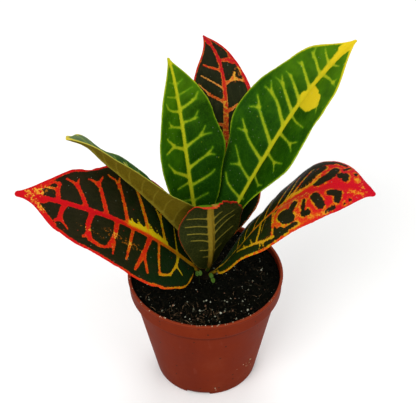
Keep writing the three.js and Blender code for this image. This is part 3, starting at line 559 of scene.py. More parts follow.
class Finish:
    """One material. Each method adds a node and returns its output, so a finish reads as a sum."""

    def __init__(self, name):
        self.material = bpy.data.materials.new(name)
        self.material.use_nodes = True
        self.tree = self.material.node_tree
        self.shader = self.tree.nodes["Principled BSDF"]
        self.place = self.add("ShaderNodeTexCoord").outputs["Object"]

    def add(self, kind, inputs=None, **settings):
        """A node of one kind, with its settings, and with values or other outputs put in."""
        node = self.tree.nodes.new(kind)
        for key, value in settings.items():
            setattr(node, key, value)
        for key, value in (inputs or {}).items():
            self.put(node.inputs[key], value)
        return node

    def put(self, socket, value):
        """Links an output to a socket, or sets the socket to a plain number or colour."""
        if isinstance(value, bpy.types.NodeSocket):
            self.tree.links.new(value, socket)
        else:
            socket.default_value = value

    def read(self, field, output="Fac"):
        """A field that the mesh carries on its points."""
        return self.add("ShaderNodeAttribute", attribute_name=field).outputs[output]

    def calc(self, operation, first, second=0.0, third=0.0):
        """One step of arithmetic; MULTIPLY_ADD is first * second + third."""
        return self.add("ShaderNodeMath", {0: first, 1: second, 2: third}, operation=operation).outputs[0]

    def height(self):
        """Height above the ground, in metres."""
        return self.add("ShaderNodeSeparateXYZ", {0: self.place}).outputs["Z"]

    def noise(self, place, scale, detail=3.0, roughness=0.55, stretch=None):
        """Cloudy noise from 0 to 1, drawn out along the axes whose stretch is below 1."""
        if stretch:
            place = self.add("ShaderNodeMapping", {"Vector": place, "Scale": stretch}).outputs[0]
        inputs = {"Vector": place, "Scale": scale, "Detail": detail, "Roughness": roughness}
        return self.add("ShaderNodeTexNoise", inputs).outputs["Fac"]

    def cells(self, place, scale, feature="F1"):
        """Distance to the nearest of many strewn points, or else to the edge between two cells."""
        node = self.add("ShaderNodeTexVoronoi", {"Vector": place, "Scale": scale}, feature=feature)
        return node.outputs["Distance"]

    def between(self, value, low, high, to_low=0.0, to_high=1.0):
        """Goes smoothly from to_low at low to to_high at high, and is level beyond them."""
        inputs = {"Value": value, "From Min": low, "From Max": high, "To Min": to_low, "To Max": to_high}
        return self.add("ShaderNodeMapRange", inputs, interpolation_type="SMOOTHSTEP").outputs[0]

    def blend(self, share, first, second):
        """first * (1 - share) + second * share. A Mix node's sockets 6 and 7 are its two colours."""
        node = self.add("ShaderNodeMix", data_type="RGBA")
        self.put(node.inputs["Factor"], share)
        self.put(node.inputs[6], first)
        self.put(node.inputs[7], second)
        return node.outputs[2]

    def ramp(self, share, colours):
        """A colour from a row of colours at even steps from 0 to 1."""
        node = self.add("ShaderNodeValToRGB", {"Fac": share})
        stops = node.color_ramp.elements
        while len(stops) < len(colours):
            stops.new(0.5)
        for i, colour in enumerate(colours):
            stops[i].position = i / (len(colours) - 1)
            stops[i].color = colour
        return node.outputs["Color"]

    def shift(self, value, noise, amount):
        """value + (noise - 0.5) * amount"""
        return self.calc("MULTIPLY_ADD", self.calc("SUBTRACT", noise, 0.5), amount, value)

    def bump(self, height, depth, strength=1.0):
        """A surface that looks rough, where height 1 stands for the depth in mm."""
        inputs = {"Height": height, "Distance": depth * MM, "Strength": strength}
        return self.add("ShaderNodeBump", inputs).outputs["Normal"]

    def done(self, colour, roughness, normal=None, gloss=0.5):
        """Puts colour, roughness, bump and strength of reflection on the shader."""
        self.put(self.shader.inputs["Base Color"], colour)
        self.put(self.shader.inputs["Roughness"], roughness)
        self.put(self.shader.inputs["Specular IOR Level"], gloss)
        if normal is not None:
            self.put(self.shader.inputs["Normal"], normal)
        return self.material


# Leaf shapes

def cubic(handles, t):
    """The curve a(1-t)³ + 3bt(1-t)² + 3ct²(1-t) + dt³ of four handles a, b, c and d."""
    a, b, c, d = handles
    return a * (1 - t) ** 3 + 3 * b * t * (1 - t) ** 2 + 3 * c * t * t * (1 - t) + d * t**3


def midrib_frames(leaf, v):
    """Points and directions on the midrib at shares v of its length, and that length. The midrib is
    the cubic curve of its four handles. Side starts level, square to the heading, and turns about
    the midrib by the roll; up is along x side. An arch lifts the points along up by its rise times a
    bell about its place."""
    a, b, c, d = handles = [np.array(handle, float) for handle in leaf["midrib"]]
    t = np.linspace(0, 1, 400)[:, None]
    steps = np.linalg.norm(np.diff(cubic(handles, t), axis=0), axis=1)
    reach = np.concatenate([[0], np.cumsum(steps)])
    t = np.interp(v, reach / reach[-1], t[:, 0])[:, None]
    along = (b - a) * (1 - t) ** 2 + 2 * (c - b) * t * (1 - t) + (d - c) * t * t
    along /= np.linalg.norm(along, axis=1)[:, None]
    heading = math.radians(leaf["heading"])
    level = np.array((-math.sin(heading), math.cos(heading), 0))
    side = level - (along @ level)[:, None] * along
    side /= np.linalg.norm(side, axis=1)[:, None]
    up = np.cross(along, side)
    roll = np.radians(even_steps(leaf["roll"], v))[:, None]
    side, up = side * np.cos(roll) + up * np.sin(roll), up * np.cos(roll) - side * np.sin(roll)
    place, spread, rise = leaf.get("arch", (0.5, 1, 0))
    point = cubic(handles, t) + up * rise * bell(v, place, spread)[:, None]
    return point, along, side, up, reach[-1]


def outline(leaf, v):
    """The place b, which runs from 0 at the petiole's end to 1 at the tip; how wide the plain outline
    is there, from 0 to 1; and the half widths of the right and left halves.

    The plain outline is the product of b/widest and (1-b)/(1-widest), each to a power that makes it
    fuller or slimmer. Each half multiplies it by its swell, adds its dents, each a height times a
    bell about its place, and adds the ripple and the frill times noise along the margin. The cube
    root of the sum of the cubes joins that to the half circle that ends the tip."""
    b = np.clip((v - leaf["petiole"]) / (1 - leaf["petiole"]), 0, 1)
    widest, fill = leaf["widest"], leaf["fill"]
    narrow = (b / widest) ** (fill * widest) * ((1 - b) / (1 - widest)) ** (fill * (1 - widest))
    extra = BLADE["petiole_half_width"] - BLADE["tip_half_width"]
    smallest = BLADE["tip_half_width"] + extra * np.maximum(0, 1 - BLADE["petiole_taper"] * b)
    radius, share = leaf.get("tip", (0.4, 0.004))
    tip = radius * np.sqrt(1 - np.clip(1 - (1 - v) / share, 0, 1) ** 2) * (v > 0.8)
    ripple = leaf.get("ripple", 0.25) * smooth_step(narrow, 0.1, 0.5)
    frill = leaf.get("frill", 0) * smooth_step(v, 0.72, 0.9)
    halves = []
    for side, swell in enumerate(leaf["swell"]):
        half = leaf["half_width"] * narrow * smooth_through(swell, b)
        for place, reach, height in leaf.get("dents", ((), ()))[side]:
            half = half + height * bell(v, place, reach)
        lane = np.full(np.shape(v), 3.5 + 11 * side)
        rough = layered_noise(v * BLADE["margin_steps"] + 7 * side, lane, BLADE["margin_seed"], 2) - 0.5
        half = np.maximum(half + 2 * (ripple + frill) * rough, 0)
        halves.append(np.maximum(np.cbrt(half**3 + tip**3), smallest))
    return b, narrow, halves[0], halves[1]


def stroke_rows(leaf, length, stroke, wide_at_end=1.0, warm_at_end=1.0, finer=4):
    """The segments of one stroke in the flattened blade, as rows of start x, y, end x, y, half widths
    and warmths at start and end. The stroke is a smooth curve through its places, cut finer between
    each two; its width and warmth go evenly along it to wide_at_end and warm_at_end of their start."""
    warmth, width, places = stroke
    places = np.array(places, float)
    share = np.linspace(0, 1, (len(places) - 1) * finer + 1)
    v, u = smooth_through(places[:, 0], share), smooth_through(places[:, 1], share)
    _, _, right, left = outline(leaf, np.clip(v, 0, 1))
    x, y = v * length, u * np.where(u < 0, right, left)
    half = width / 2 * np.linspace(1, wide_at_end, len(v))
    heat = warmth * np.linspace(1, warm_at_end, len(v))
    return np.stack([x[:-1], y[:-1], x[1:], y[1:], half[:-1], half[1:], heat[:-1], heat[1:]], -1)


def stroke_gap(x, y, rows):
    """For each point: its distance to the stroke's nearest edge, below 0 inside; to its middle line;
    and the warmth there. The nearest place t on a segment is the foot of the perpendicular, kept
    within it."""
    ax, ay, bx, by, half_a, half_b, warm_a, warm_b = (rows[:, k][None] for k in range(8))
    dx, dy = bx - ax, by - ay
    t = ((x[:, None] - ax) * dx + (y[:, None] - ay) * dy) / np.maximum(dx * dx + dy * dy, 1e-9)
    t = np.clip(t, 0, 1)
    distance = np.hypot(x[:, None] - ax - t * dx, y[:, None] - ay - t * dy)
    gap = distance - half_a - t * (half_b - half_a)
    nearest = gap.argmin(axis=1)[:, None]
    warmth = warm_a + t * (warm_b - warm_a)
    return [np.take_along_axis(array, nearest, 1)[:, 0] for array in (gap, distance, warmth)]


def rib_rows(leaf, length, across, widths, warmths):
    """The midrib or a margin as a stroke, with widths and warmths at even steps from base to tip."""
    steps = np.linspace(0, 1, 25)
    rows = stroke_rows(leaf, length, (0, 1, [(s, across) for s in steps]), finer=1)
    for k, values in ((4, np.array(widths) / 2), (6, warmths)):
        at = even_steps(values, steps)
        rows[:, k], rows[:, k + 1] = at[:-1], at[1:]
    return rows


def marking_fields(leaf, marks, length, v, y):
    """The blade's markings at each point: its x and y in the flattened blade, then four fields.

    Vein is the distance in mm to the nearest edge of the vein colour, below 0 inside it:
    -web * log of the sum of exp(-gap / web) over the strokes, which webs the places where they meet,
    or the distance to the flush with its islands taken out, where that is less. Warmth is the mean
    over strokes and flush, weighted by exp(-gap / near). Core is the distance to the middle line of
    the nearest vein or of the midrib, and gilt the distance to the gilding."""
    web, near, taper, far = 0.45, 0.5, 0.6, 1e3
    x = np.broadcast_to(v * length, y.shape).ravel()
    y = y.ravel()
    broader, fade = marks.get("broader", 1), marks.get("fade", 1)
    ribs = [rib_rows(leaf, length, 0, marks["midrib_width"], marks["midrib_warmth"])]
    ribs += [stroke_rows(leaf, length, (warmth, broader * width, places), taper, fade)
             for warmth, width, places in marks["veins"]]
    margins = [rib_rows(leaf, length, side, marks["margin_width"], marks["margin_warmth"])
               for side in (-1, 1)]
    joined, total, heat = np.zeros(x.shape), np.full(x.shape, 1e-9), np.zeros(x.shape)
    core = np.full(x.shape, far)
    for i, rows in enumerate(ribs + margins):
        gap, distance, warmth = stroke_gap(x, y, rows)
        joined += np.exp(-np.clip(gap, -6, 60) / web)
        weight = np.exp(-np.clip(gap, -0.5, 30) / near)
        total += weight
        heat += weight * warmth
        if i < len(ribs):
            core = np.minimum(core, distance)
    line = -web * np.log(np.maximum(joined, 1e-80))

    def nearest(patches):
        """The distance to the nearest of some patches, each a width and its places."""
        gaps = [stroke_gap(x, y, stroke_rows(leaf, length, (0, *patch)))[0] for patch in patches]
        return np.min([np.full(x.shape, far), *gaps], axis=0)

    gilt = nearest(marks.get("gilding", []))
    flush = np.maximum(nearest(marks["flush"]), -nearest(marks["islands"]))
    share = np.exp(-np.clip(flush, -0.5, 30) / near)
    warmth = (heat + share * even_steps(marks["flush_warmth"], x / length)) / (total + share)
    return x, y, np.minimum(line, flush), warmth, core, gilt


def blade_grid():
    """The rows' places v and the columns' places u. Rows are even up to the tip, where the last ones
    close up as a quarter of a sine; columns follow 0.6t + 0.4 sin(t pi / 2), closer at the margins."""
    last, share = BLADE["tip_rows"], BLADE["tip_share"]
    closing = 1 - share + share * np.sin(np.arange(1, last + 1) * np.pi / 2 / last)
    v = np.concatenate([np.linspace(0, 1 - share, BLADE["rows"] - last), closing])
    even = np.linspace(-1, 1, BLADE["columns"])
    return v, (0.6 * even + 0.4 * np.sin(even * np.pi / 2))[None, :]


def folded_section(leaf, v, u, half_width):
    """How far a half section reaches across and up from the midrib, and its slope. It is an arc that
    leaves the midrib at the fold angle and bends down by the curl over the half width. The slope
    goes to 0 at the midrib over the width of the crease."""
    fold, curl = (np.radians(even_steps(leaf[key], v)) for key in ("fold", "curl"))
    curl = np.where(np.abs(curl) < 1e-3, 1e-3, curl)
    reach, sign = np.abs(u), np.sign(u)
    across = sign * half_width * (np.sin(fold) - np.sin(fold - curl * reach)) / curl
    lift = half_width * (np.cos(fold - curl * reach) - np.cos(fold)) / curl
    crease = np.minimum(1, reach * half_width / BLADE["crease_width"])
    return across, lift, (fold - curl * reach) * sign * crease


def blade_waves(leaf, v, u, y, narrow):
    """How far the blade waves up and shifts along. The wave is height * narrow * u² times
    sin(2 pi count v + turn), and the shift slant * u * v³ * narrow. A frill adds noise across the
    blade to the left half's shift near the tip, so that its end looks torn."""
    height, count, phase = leaf["wave"]
    turn = phase + np.where(u > 0, BLADE["half_wave_turn"], 0)
    wave = height * narrow * u * u * np.sin(2 * np.pi * count * v + turn)
    jag = layered_noise(y / BLADE["jag_size"] + 60, np.full(y.shape, 9.5), BLADE["jag_seed"], 2)
    jag = BLADE["jag_reach"] * leaf.get("frill", 0) * (jag.reshape(wave.shape) - 0.5)
    torn = jag * smooth_step(v, 0.7, 0.85) * smooth_step(u, 0, 0.5)
    return wave, leaf["slant"] * u * v**3 * narrow + torn


def skin_depths(b, v, u, half_width, core, relief):
    """How far the upper and the under skin lie from the middle surface: half the thickness, rounded
    off at the margin as a circle, plus what stands out. Above, that is a low rib with a groove on
    either side, each a bell about its distance from the midrib. Beneath, it is the midrib's keel,
    (1 - (distance / its half width)²)^1.5, lower towards the tip, and a bell about the midrib and
    each vein. The petiole is round instead."""
    from_rib, from_edge = np.abs(u) * half_width, (1 - np.abs(u)) * half_width
    rounding = 1 - np.clip(from_edge / BLADE["edge_radius"], 0, 1)
    plain = BLADE["half_thickness"] * np.maximum(0.25, np.sqrt(1 - rounding**2))
    stalk = 1 - smooth_step(b, 0, 0.06)
    stalk_round = np.maximum(0.12, np.sqrt(1 - u * u))
    low_rib = BLADE["low_rib"] * bell(from_rib, 0, BLADE["low_rib_width"])
    groove = BLADE["groove"] * bell(from_rib, BLADE["rib_half_width"], BLADE["groove_width"])
    keel = np.maximum(0, 1 - (from_rib / BLADE["rib_half_width"]) ** 2) ** 1.5
    rib = BLADE["rib_depth"] * (1 - BLADE["rib_taper"] * v) * keel
    ridge = BLADE["vein_ridge"] * bell(core, 0, BLADE["ridge_width"]) * relief
    above = (plain + (low_rib - groove) * relief) * (1 - stalk)
    beneath = (plain + rib + ridge) * (1 - stalk)
    return (above + BLADE["stalk_above"] * stalk * stalk_round,
            beneath + BLADE["stalk_beneath"] * stalk * stalk_round)


def leaf_piece(node, materials, seed):
    """A closed blade: an upper and an under skin on either side of a middle surface, and a rim. The
    middle surface is the midrib plus the folded section and its waves, and between veins it swells
    by pillow * (1 - a bell about the vein) and is a little uneven. Towards the margin and the petiole
    relief fades that swelling, the low rib, its grooves and the veins' ridges, but not the keel. The
    skins carry the markings."""
    leaf = LEAVES[node]
    v, u = blade_grid()
    point, along, side, up, length = midrib_frames(leaf, v)
    b, narrow, right, left = (array[:, None] for array in outline(leaf, v))
    v = v[:, None]
    half_width = np.where(u < 0, right, left)
    x, y, vein, warmth, core, gilt = marking_fields(leaf, MARKINGS[node], length, v, u * half_width)
    core = core.reshape(half_width.shape)

    relief = smooth_step((1 - np.abs(u)) * half_width, 0, BLADE["plain_margin"]) * smooth_step(b, 0, 0.08)
    pillow = BLADE["pillow"] * (1 - bell(core, 0, BLADE["pillow_reach"])) * relief
    size = BLADE["uneven_size"]
    rough = layered_noise(x / size + 40, y / size + 40, seed, 3).reshape(core.shape) - 0.5
    swelling = pillow + BLADE["uneven"] * rough * relief
    across, lift, slope = folded_section(leaf, v, u, half_width)
    wave, shift = blade_waves(leaf, v, u, y, narrow)
    normal = up[:, None] * np.cos(slope)[..., None] - side[:, None] * np.sin(slope)[..., None]
    middle = (point[:, None] + side[:, None] * across[..., None] + along[:, None] * shift[..., None]
              + up[:, None] * (lift + wave)[..., None] + normal * swelling[..., None])
    above, beneath = skin_depths(b, v, u, half_width, core, relief)
    skins = np.stack([middle + normal * above[..., None], middle - normal * beneath[..., None]])

    upper, lower, rim = sheet_faces(*core.shape)
    on_under = np.repeat([0, 1, 0], [len(upper), len(lower), len(rim)])
    fields = dict(flat=np.stack([x, y, np.zeros_like(x)], -1), vein=vein, warmth=warmth, gilt=gilt,
                  along=np.broadcast_to(v, core.shape).ravel(),
                  across=np.broadcast_to(u, core.shape).ravel())
    fields = {key: np.concatenate([values, values]) for key, values in fields.items()}
    faces = np.concatenate([upper, lower, rim]).tolist()
    return make_piece("croton_" + node, skins, faces, node, materials, fields, on_under)


# Leaf finishes

def upper_face(name, tones, ragged, soft, fringe, mottle, gold=0, rim_width=0.9, lean=0):
    """Vein colour inside the vein edge, over a dark lamina with a faint net. Noise makes the edge
    ragged and mottles the warmth, and an uneven rim of each vein is warmer by the fringe. Gold specks
    gather in the gilding and stray along the rim. Lean is painted light: it makes the left half that
    much lighter than the right one, as if that half caught more light. Dust lies on the whole, and the
    petiole has the colour of the leaf's base."""
    f = Finish(name)
    flat = f.read("flat", "Vector")
    along, across = f.read("along"), f.read("across")
    broad, patchy, grit = f.noise(flat, 0.09), f.noise(flat, 0.8, 3), f.noise(flat, 3, 2)
    streak = f.noise(flat, 0.5, 4, stretch=(0.35, 1.6, 1))
    net = f.between(f.cells(flat, 0.42, "DISTANCE_TO_EDGE"), 0.07, 0)

    edge = f.shift(f.shift(f.read("vein"), patchy, 2.6 * ragged), grit, 1.2 * ragged)
    rim = f.between(edge, -rim_width, 0)
    uneven_rim = f.calc("MULTIPLY", rim, f.between(f.noise(flat, 0.33, 2), 0.36, 0.62, 0.1, 1.7))
    mottled = f.shift(f.shift(f.read("warmth"), f.noise(flat, 1.5, 3), 2.2 * mottle), grit, mottle)
    vein_colour = f.ramp(f.calc("MULTIPLY_ADD", uneven_rim, fringe, mottled), tones["veins"])
    gilded = f.between(f.shift(f.read("gilt"), patchy, 3), 1.5, -1.5)
    flakes = f.calc("MULTIPLY_ADD", f.calc("SUBTRACT", gilded, 1), 0.2, f.noise(flat, 0.62, 4, 0.72))
    specks = f.between(f.calc("MULTIPLY_ADD", rim, 0.07, flakes), 0.48, 0.56, 0, gold)
    vein_colour = f.blend(specks, vein_colour, tones["gold"])

    tone = f.shift(f.shift(broad, streak, 0.7), grit, 0.35)
    # Painted light: the lean lightens the lamina's left half, as if that half faced the light.
    tone_and_painted_side_light = f.calc("MULTIPLY_ADD", f.between(across, -0.2, 0.2, -1, 1), lean, tone)
    lamina = f.ramp(tone_and_painted_side_light, tones["lamina"])
    lamina = f.blend(f.between(f.shift(along, broad, 0.5), 0.65, 0.25, 0, 0.85), lamina, tones["base"])
    lamina = f.blend(f.between(f.shift(along, broad, 0.4), 0.6, 1.05, 0, 0.8), lamina, tones["tip"])
    lamina = f.blend(f.calc("MULTIPLY", net, 0.2), lamina, tones["network"])
    lamina = f.blend(f.calc("MULTIPLY", f.between(edge, 1.3, 0), 0.4), lamina, tones["halo"])
    lamina = f.blend(f.between(flakes, 0.51, 0.61, 0, 0.7 * gold), lamina, tones["veins"][3])
    fleck = f.between(f.shift(f.cells(flat, 0.17), grit, 0.16), 0.07, 0.03, 0, 0.5)
    lamina = f.blend(fleck, lamina, tones["veins"][1])

    colour = f.blend(f.between(edge, soft, -soft), lamina, vein_colour)
    dust = f.between(f.shift(f.cells(flat, 0.33), grit, 0.1), 0.08, 0.05, 0, 0.42)
    colour = f.blend(dust, colour, paint(170, 174, 150))
    colour = f.blend(f.between(along, 0.11, 0.03, 0, 0.8), colour, tones["base"])
    height = f.calc("ADD", f.calc("MULTIPLY", f.cells(flat, 3.4), 0.5), f.calc("MULTIPLY", net, -0.7))
    normal = f.bump(f.shift(height, patchy, 1.2), 0.07, 0.8)
    return f.done(colour, f.between(f.shift(streak, grit, 0.3), 0.2, 0.8, 0.4, 0.56), normal, 0.03)


def under_face(name, tones, strength=0.7):
    """The matt back of a leaf, where the markings only show through and the base lies in shade."""
    f = Finish(name)
    flat, along = f.read("flat", "Vector"), f.read("along")
    broad, patchy, grit = f.noise(flat, 0.1), f.noise(flat, 0.8, 4), f.noise(flat, 3, 2)
    lamina = f.ramp(f.shift(f.shift(broad, patchy, 0.4), grit, 0.3), tones["under"])
    net = f.between(f.cells(flat, 0.5, "DISTANCE_TO_EDGE"), 0.09, 0)
    lamina = f.blend(f.calc("MULTIPLY", net, 0.08), lamina, tones["under_veins"][-1])
    edge = f.shift(f.shift(f.read("vein"), patchy, 0.6), grit, 0.3)
    vein_colour = f.ramp(f.shift(f.read("warmth"), patchy, 0.2), tones["under_veins"])
    colour = f.blend(f.between(edge, 0.3, -0.25, 0, strength), lamina, vein_colour)
    colour = f.blend(f.between(along, 0.4, 0.1, 0, 0.5), colour, tones["under"][0])
    colour = f.blend(f.between(along, 0.14, 0.03, 0, 0.85), colour, tones["base"])
    normal = f.bump(f.shift(net, f.cells(flat, 3), 0.8), 0.05, 0.7)
    return f.done(colour, f.between(patchy, 0.2, 0.8, 0.5, 0.66), normal, 0.04)


def make_leaves():
    """Each leaf, with its upper and under face."""
    green_under = under_face("green_under_face", GREEN_LEAF)
    red_under = under_face("red_veined_under_face", RED_LEAF)
    dressed = (
        ("leaf_left", "leaf_red", upper_face("left_leaf_upper_face", RED_LEAF, **RED_MARKS), red_under),
        ("leaf_left_upper", "leaf_green",
         upper_face("bronze_backed_upper_face", BRONZE_LEAF, **GREEN_MARKS),
         under_face("bronze_under_face", BRONZE_LEAF, 0.45)),
        # A lean of 0.3 paints the upright leaf's left half lighter, as painted light.
        ("leaf_upright_left", "leaf_green",
         upper_face("upright_leaf_upper_face", GREEN_LEAF, lean=0.3, **GREEN_MARKS), green_under),
        ("leaf_back", "leaf_red", upper_face("back_leaf_upper_face", BACK_LEAF, **BACK_MARKS), red_under),
        ("leaf_right_upper", "leaf_green",
         upper_face("yellow_blotched_upper_face", GREEN_LEAF, **GREEN_MARKS), green_under),
        ("leaf_right", "leaf_red",
         upper_face("right_leaf_upper_face", RIGHT_LEAF, **RIGHT_MARKS), red_under),
        ("leaf_front", "leaf_olive", upper_face("front_leaf_upper_face", OLIVE_LEAF, **GREEN_MARKS),
         under_face("olive_under_face", OLIVE_LEAF, 0.88)),
    )
    for seed, (node, slot, upper, under) in enumerate(dressed, 101):
        leaf_piece(node, (upper, under), seed)


# Turned and moulded pieces

def rounded(points, radius, steps=5):
    """A profile with its inner corners rounded: each becomes the curve a(1-t)² + 2pt(1-t) + bt²,
    from a to b, which lie a radius from the corner p, or less where a side is short."""
    points = np.array(points, float)
    corner, before, after = points[1:-1], points[:-2] - points[1:-1], points[2:] - points[1:-1]
    far_a, far_b = (np.linalg.norm(side, axis=1)[:, None] for side in (before, after))
    a = corner + before * np.minimum(radius / far_a, 0.45)
    b = corner + after * np.minimum(radius / far_b, 0.45)
    t = np.linspace(0, 1, steps)[None, :, None]
    curves = a[:, None] * (1 - t) ** 2 + 2 * corner[:, None] * t * (1 - t) + b[:, None] * t * t
    return np.concatenate([points[:1], curves.reshape(-1, 2), points[-1:]])


def close_spaced(profile, spacing):
    """More points on a profile, so that none lie further apart than the spacing."""
    gaps = np.linalg.norm(np.diff(profile, axis=0), axis=1)
    counts = np.maximum(1, np.ceil(gaps / spacing)).astype(int)
    place = np.concatenate([i + np.arange(n) / n for i, n in enumerate(counts)] + [[len(gaps)]])
    return np.stack([np.interp(place, np.arange(len(profile)), profile[:, k]) for k in (0, 1)], -1)


def turned(profile, sides, warp=None):
    """Points and faces of a closed turned shape. The profile runs from the axis below, outside, to
    the axis above; warp(angle, height, radius) gives what to add to each radius."""
    angle = np.linspace(0, 2 * np.pi, sides, endpoint=False)[None, :]
    radius, height = profile[1:-1, :1], profile[1:-1, 1:]
    full = radius + (warp(angle, height, radius) if warp else np.zeros_like(angle))
    ring = np.stack([full * np.cos(angle), full * np.sin(angle), np.broadcast_to(height, full.shape)], -1)
    poles = [[0, 0, profile[0, 1]], [0, 0, profile[-1, 1]]]
    return np.concatenate([ring.reshape(-1, 3), poles]), round_faces(len(profile) - 2, sides)


def body_radius(height):
    """The outside of the pot's body, which widens evenly from its foot to its collar."""
    return POT["base_radius"] + (BODY_RADIUS - POT["base_radius"]) * height / BODY_TOP


def pot_profile():
    """The pot's section as radius and height: underside, foot, body, collar, lip, and back down the
    inside to the floor."""
    edge, wall, foot, pad = POT["edge"], POT["wall"], POT["foot_height"], POT["pad_radius"]
    rim, lip_inner = POT["rim_radius"], POT["rim_radius"] - POT["lip_width"]
    top, lip_low = POT["height"], POT["height"] - POT["lip_height"]
    foot_inner, curve = POT["base_radius"] - POT["foot_width"], POT["floor_curve"]
    bend = FLOOR_TOP + curve
    return [
        (0, 0), (pad, 0), (pad + 1, foot), (foot_inner - edge, foot), (foot_inner, 0),
        (POT["base_radius"] - POT["foot_edge"], 0), (body_radius(POT["foot_edge"]), POT["foot_edge"]),
        (BODY_RADIUS, BODY_TOP), (COLLAR_LOW_RADIUS - edge, BODY_TOP + edge),
        (COLLAR_LOW_RADIUS, BODY_TOP + 3 * edge), (rim - edge, lip_low - edge), (rim, lip_low + edge),
        (rim, top - edge), (rim - edge, top), (lip_inner + edge, top), (lip_inner, top - edge),
        (COLLAR_LOW_RADIUS - wall, BODY_TOP + 2 * wall),
        (body_radius(BODY_TOP) - wall, BODY_TOP + 2 * edge), (body_radius(bend) - wall, bend),
        (body_radius(FLOOR_TOP) - wall - curve, FLOOR_TOP), (0, FLOOR_TOP),
    ]


def cut_out(piece, cutters):
    """Takes the cutters' shapes out of the piece."""
    for cutter in cutters:
        modifier = piece.modifiers.new("cut", "BOOLEAN")
        modifier.object, modifier.operation, modifier.solver = cutter, "DIFFERENCE", "EXACT"
    graph = bpy.context.evaluated_depsgraph_get()
    cut = bpy.data.meshes.new_from_object(piece.evaluated_get(graph))
    piece.modifiers.clear()
    piece.data = cut
    for cutter in cutters:
        bpy.data.objects.remove(cutter)


def drain_cutters():
    """A drill for each drain hole, and for each notch in the foot a block that narrows upwards."""
    radius, below, above = DRAIN["hole_radius"], -1, FLOOR_TOP + 1
    drill, drill_faces = turned(np.array([(0, below), (radius, below), (radius, above), (0, above)]), 32)
    cutters = []
    for i in range(DRAIN["holes"]):
        angle = (i + 0.5) / DRAIN["holes"] * 2 * np.pi
        centre = np.array((np.cos(angle), np.sin(angle), 0)) * DRAIN["hole_circle"]
        cutters.append(plain_mesh("drill", drill + centre, drill_faces))
    depth, half, height = DRAIN["notch_depth"] / 2, DRAIN["notch_width"] / 2, DRAIN["notch_height"]
    corners = np.array([(x, y, z) for x in (-depth, depth) for y in (-half, half)
                        for z in (-height, height)])
    corners[:, 1] -= np.sign(corners[:, 1]) * DRAIN["notch_splay"] * corners[:, 2] / height
    block_faces = [(0, 1, 3, 2), (4, 6, 7, 5), (0, 4, 5, 1), (2, 3, 7, 6), (0, 2, 6, 4), (1, 5, 7, 3)]
    for i in range(DRAIN["notches"]):
        angle = i / DRAIN["notches"] * 2 * np.pi - np.pi / 2 + DRAIN["turn"]
        turn = np.array(Matrix.Rotation(angle, 3, "Z"))
        out = np.array((POT["base_radius"], 0, 0))
        cutters.append(plain_mesh("notch", (corners + out) @ turn.T, block_faces))
    return cutters


def pot_finish():
    """Matt moulded plastic: chalky bloom, fine flow marks, scuffs, and soil splashed on it. The lip's
    top edge is paler, a painted highlight, a line of painted shade lies under the collar, and grime
    gathers low down."""
    f = Finish("matt_terracotta_plastic")
    height, rim, step = f.height(), POT["height"] * MM, BODY_TOP * MM
    cloud, fine = f.noise(f.place, 28, 4), f.noise(f.place, 420, 3)
    flow = f.noise(f.place, 60, 4, stretch=(1, 1, 0.08))
    tone = f.shift(f.shift(cloud, flow, 0.5), fine, 0.3)
    colour = f.ramp(tone, paints((92, 26, 8), (106, 33, 10), (118, 42, 16)))
    bloom = f.between(f.noise(f.place, 45, 5, 0.65), 0.5, 0.8, 0, 0.2)
    colour = f.blend(bloom, colour, paint(134, 70, 48))
    # Painted highlight: the top 0.8 mm of the lip is paler, a thin bright edge where light catches it.
    lip = f.between(height, rim - 0.8 * MM, rim - 0.2 * MM, 0, 0.5)
    colour = f.blend(lip, colour, paint(140, 58, 34))
    rising = f.between(height, step - 4.2 * MM, step - 2 * MM, 0, 0.45)
    shade = f.calc("MULTIPLY", rising, f.between(height, step + 0.6 * MM, step - 0.1 * MM))
    colour = f.blend(shade, colour, paint(60, 16, 6))
    low = f.between(height, 16 * MM, 1 * MM, 0, 0.55)
    grime = f.between(f.shift(f.noise(f.place, 130, 5, 0.7), low, 0.5), 0.5, 0.8, 0, 0.5)
    colour = f.blend(grime, colour, paint(62, 34, 24))
    specks = f.between(f.shift(f.cells(f.place, 190), fine, 0.2), 0.13, 0.07, 0, 0.75)
    colour = f.blend(specks, colour, paint(44, 28, 20))
    scuff = f.between(f.noise(f.place, 240, 4, stretch=(1, 1, 0.25)), 0.66, 0.74, 0, 0.35)
    colour = f.blend(f.calc("MULTIPLY", scuff, 0.35), colour, paint(140, 76, 60))
    bump = f.bump(f.shift(f.shift(fine, flow, 0.8), scuff, 0.3), 0.05, 0.7)
    return f.done(colour, f.between(cloud, 0.3, 0.7, 0.5, 0.64), bump, 0.03)


def make_pot():
    """The profile turned about the upright axis, with the faint unevenness of a thin moulding, and
    with its holes and notches cut."""
    def uneven(angle, height, radius):
        """Up to 0.12 less, twice round as 1 + sin(2 angle + 0.7), growing from height 20 to the rim."""
        growing = smooth_step(height, 20, POT["height"]) * (radius > BODY_RADIUS - 6)
        return -0.12 * growing * (1 + np.sin(2 * angle + 0.7)) * 0.5

    profile = close_spaced(rounded(pot_profile(), 0.5), 4)
    points, faces = turned(profile, 200, uneven)
    pot = make_piece("nursery_pot", points, faces, "pot", [pot_finish()])
    cut_out(pot, drain_cutters())


# Soil

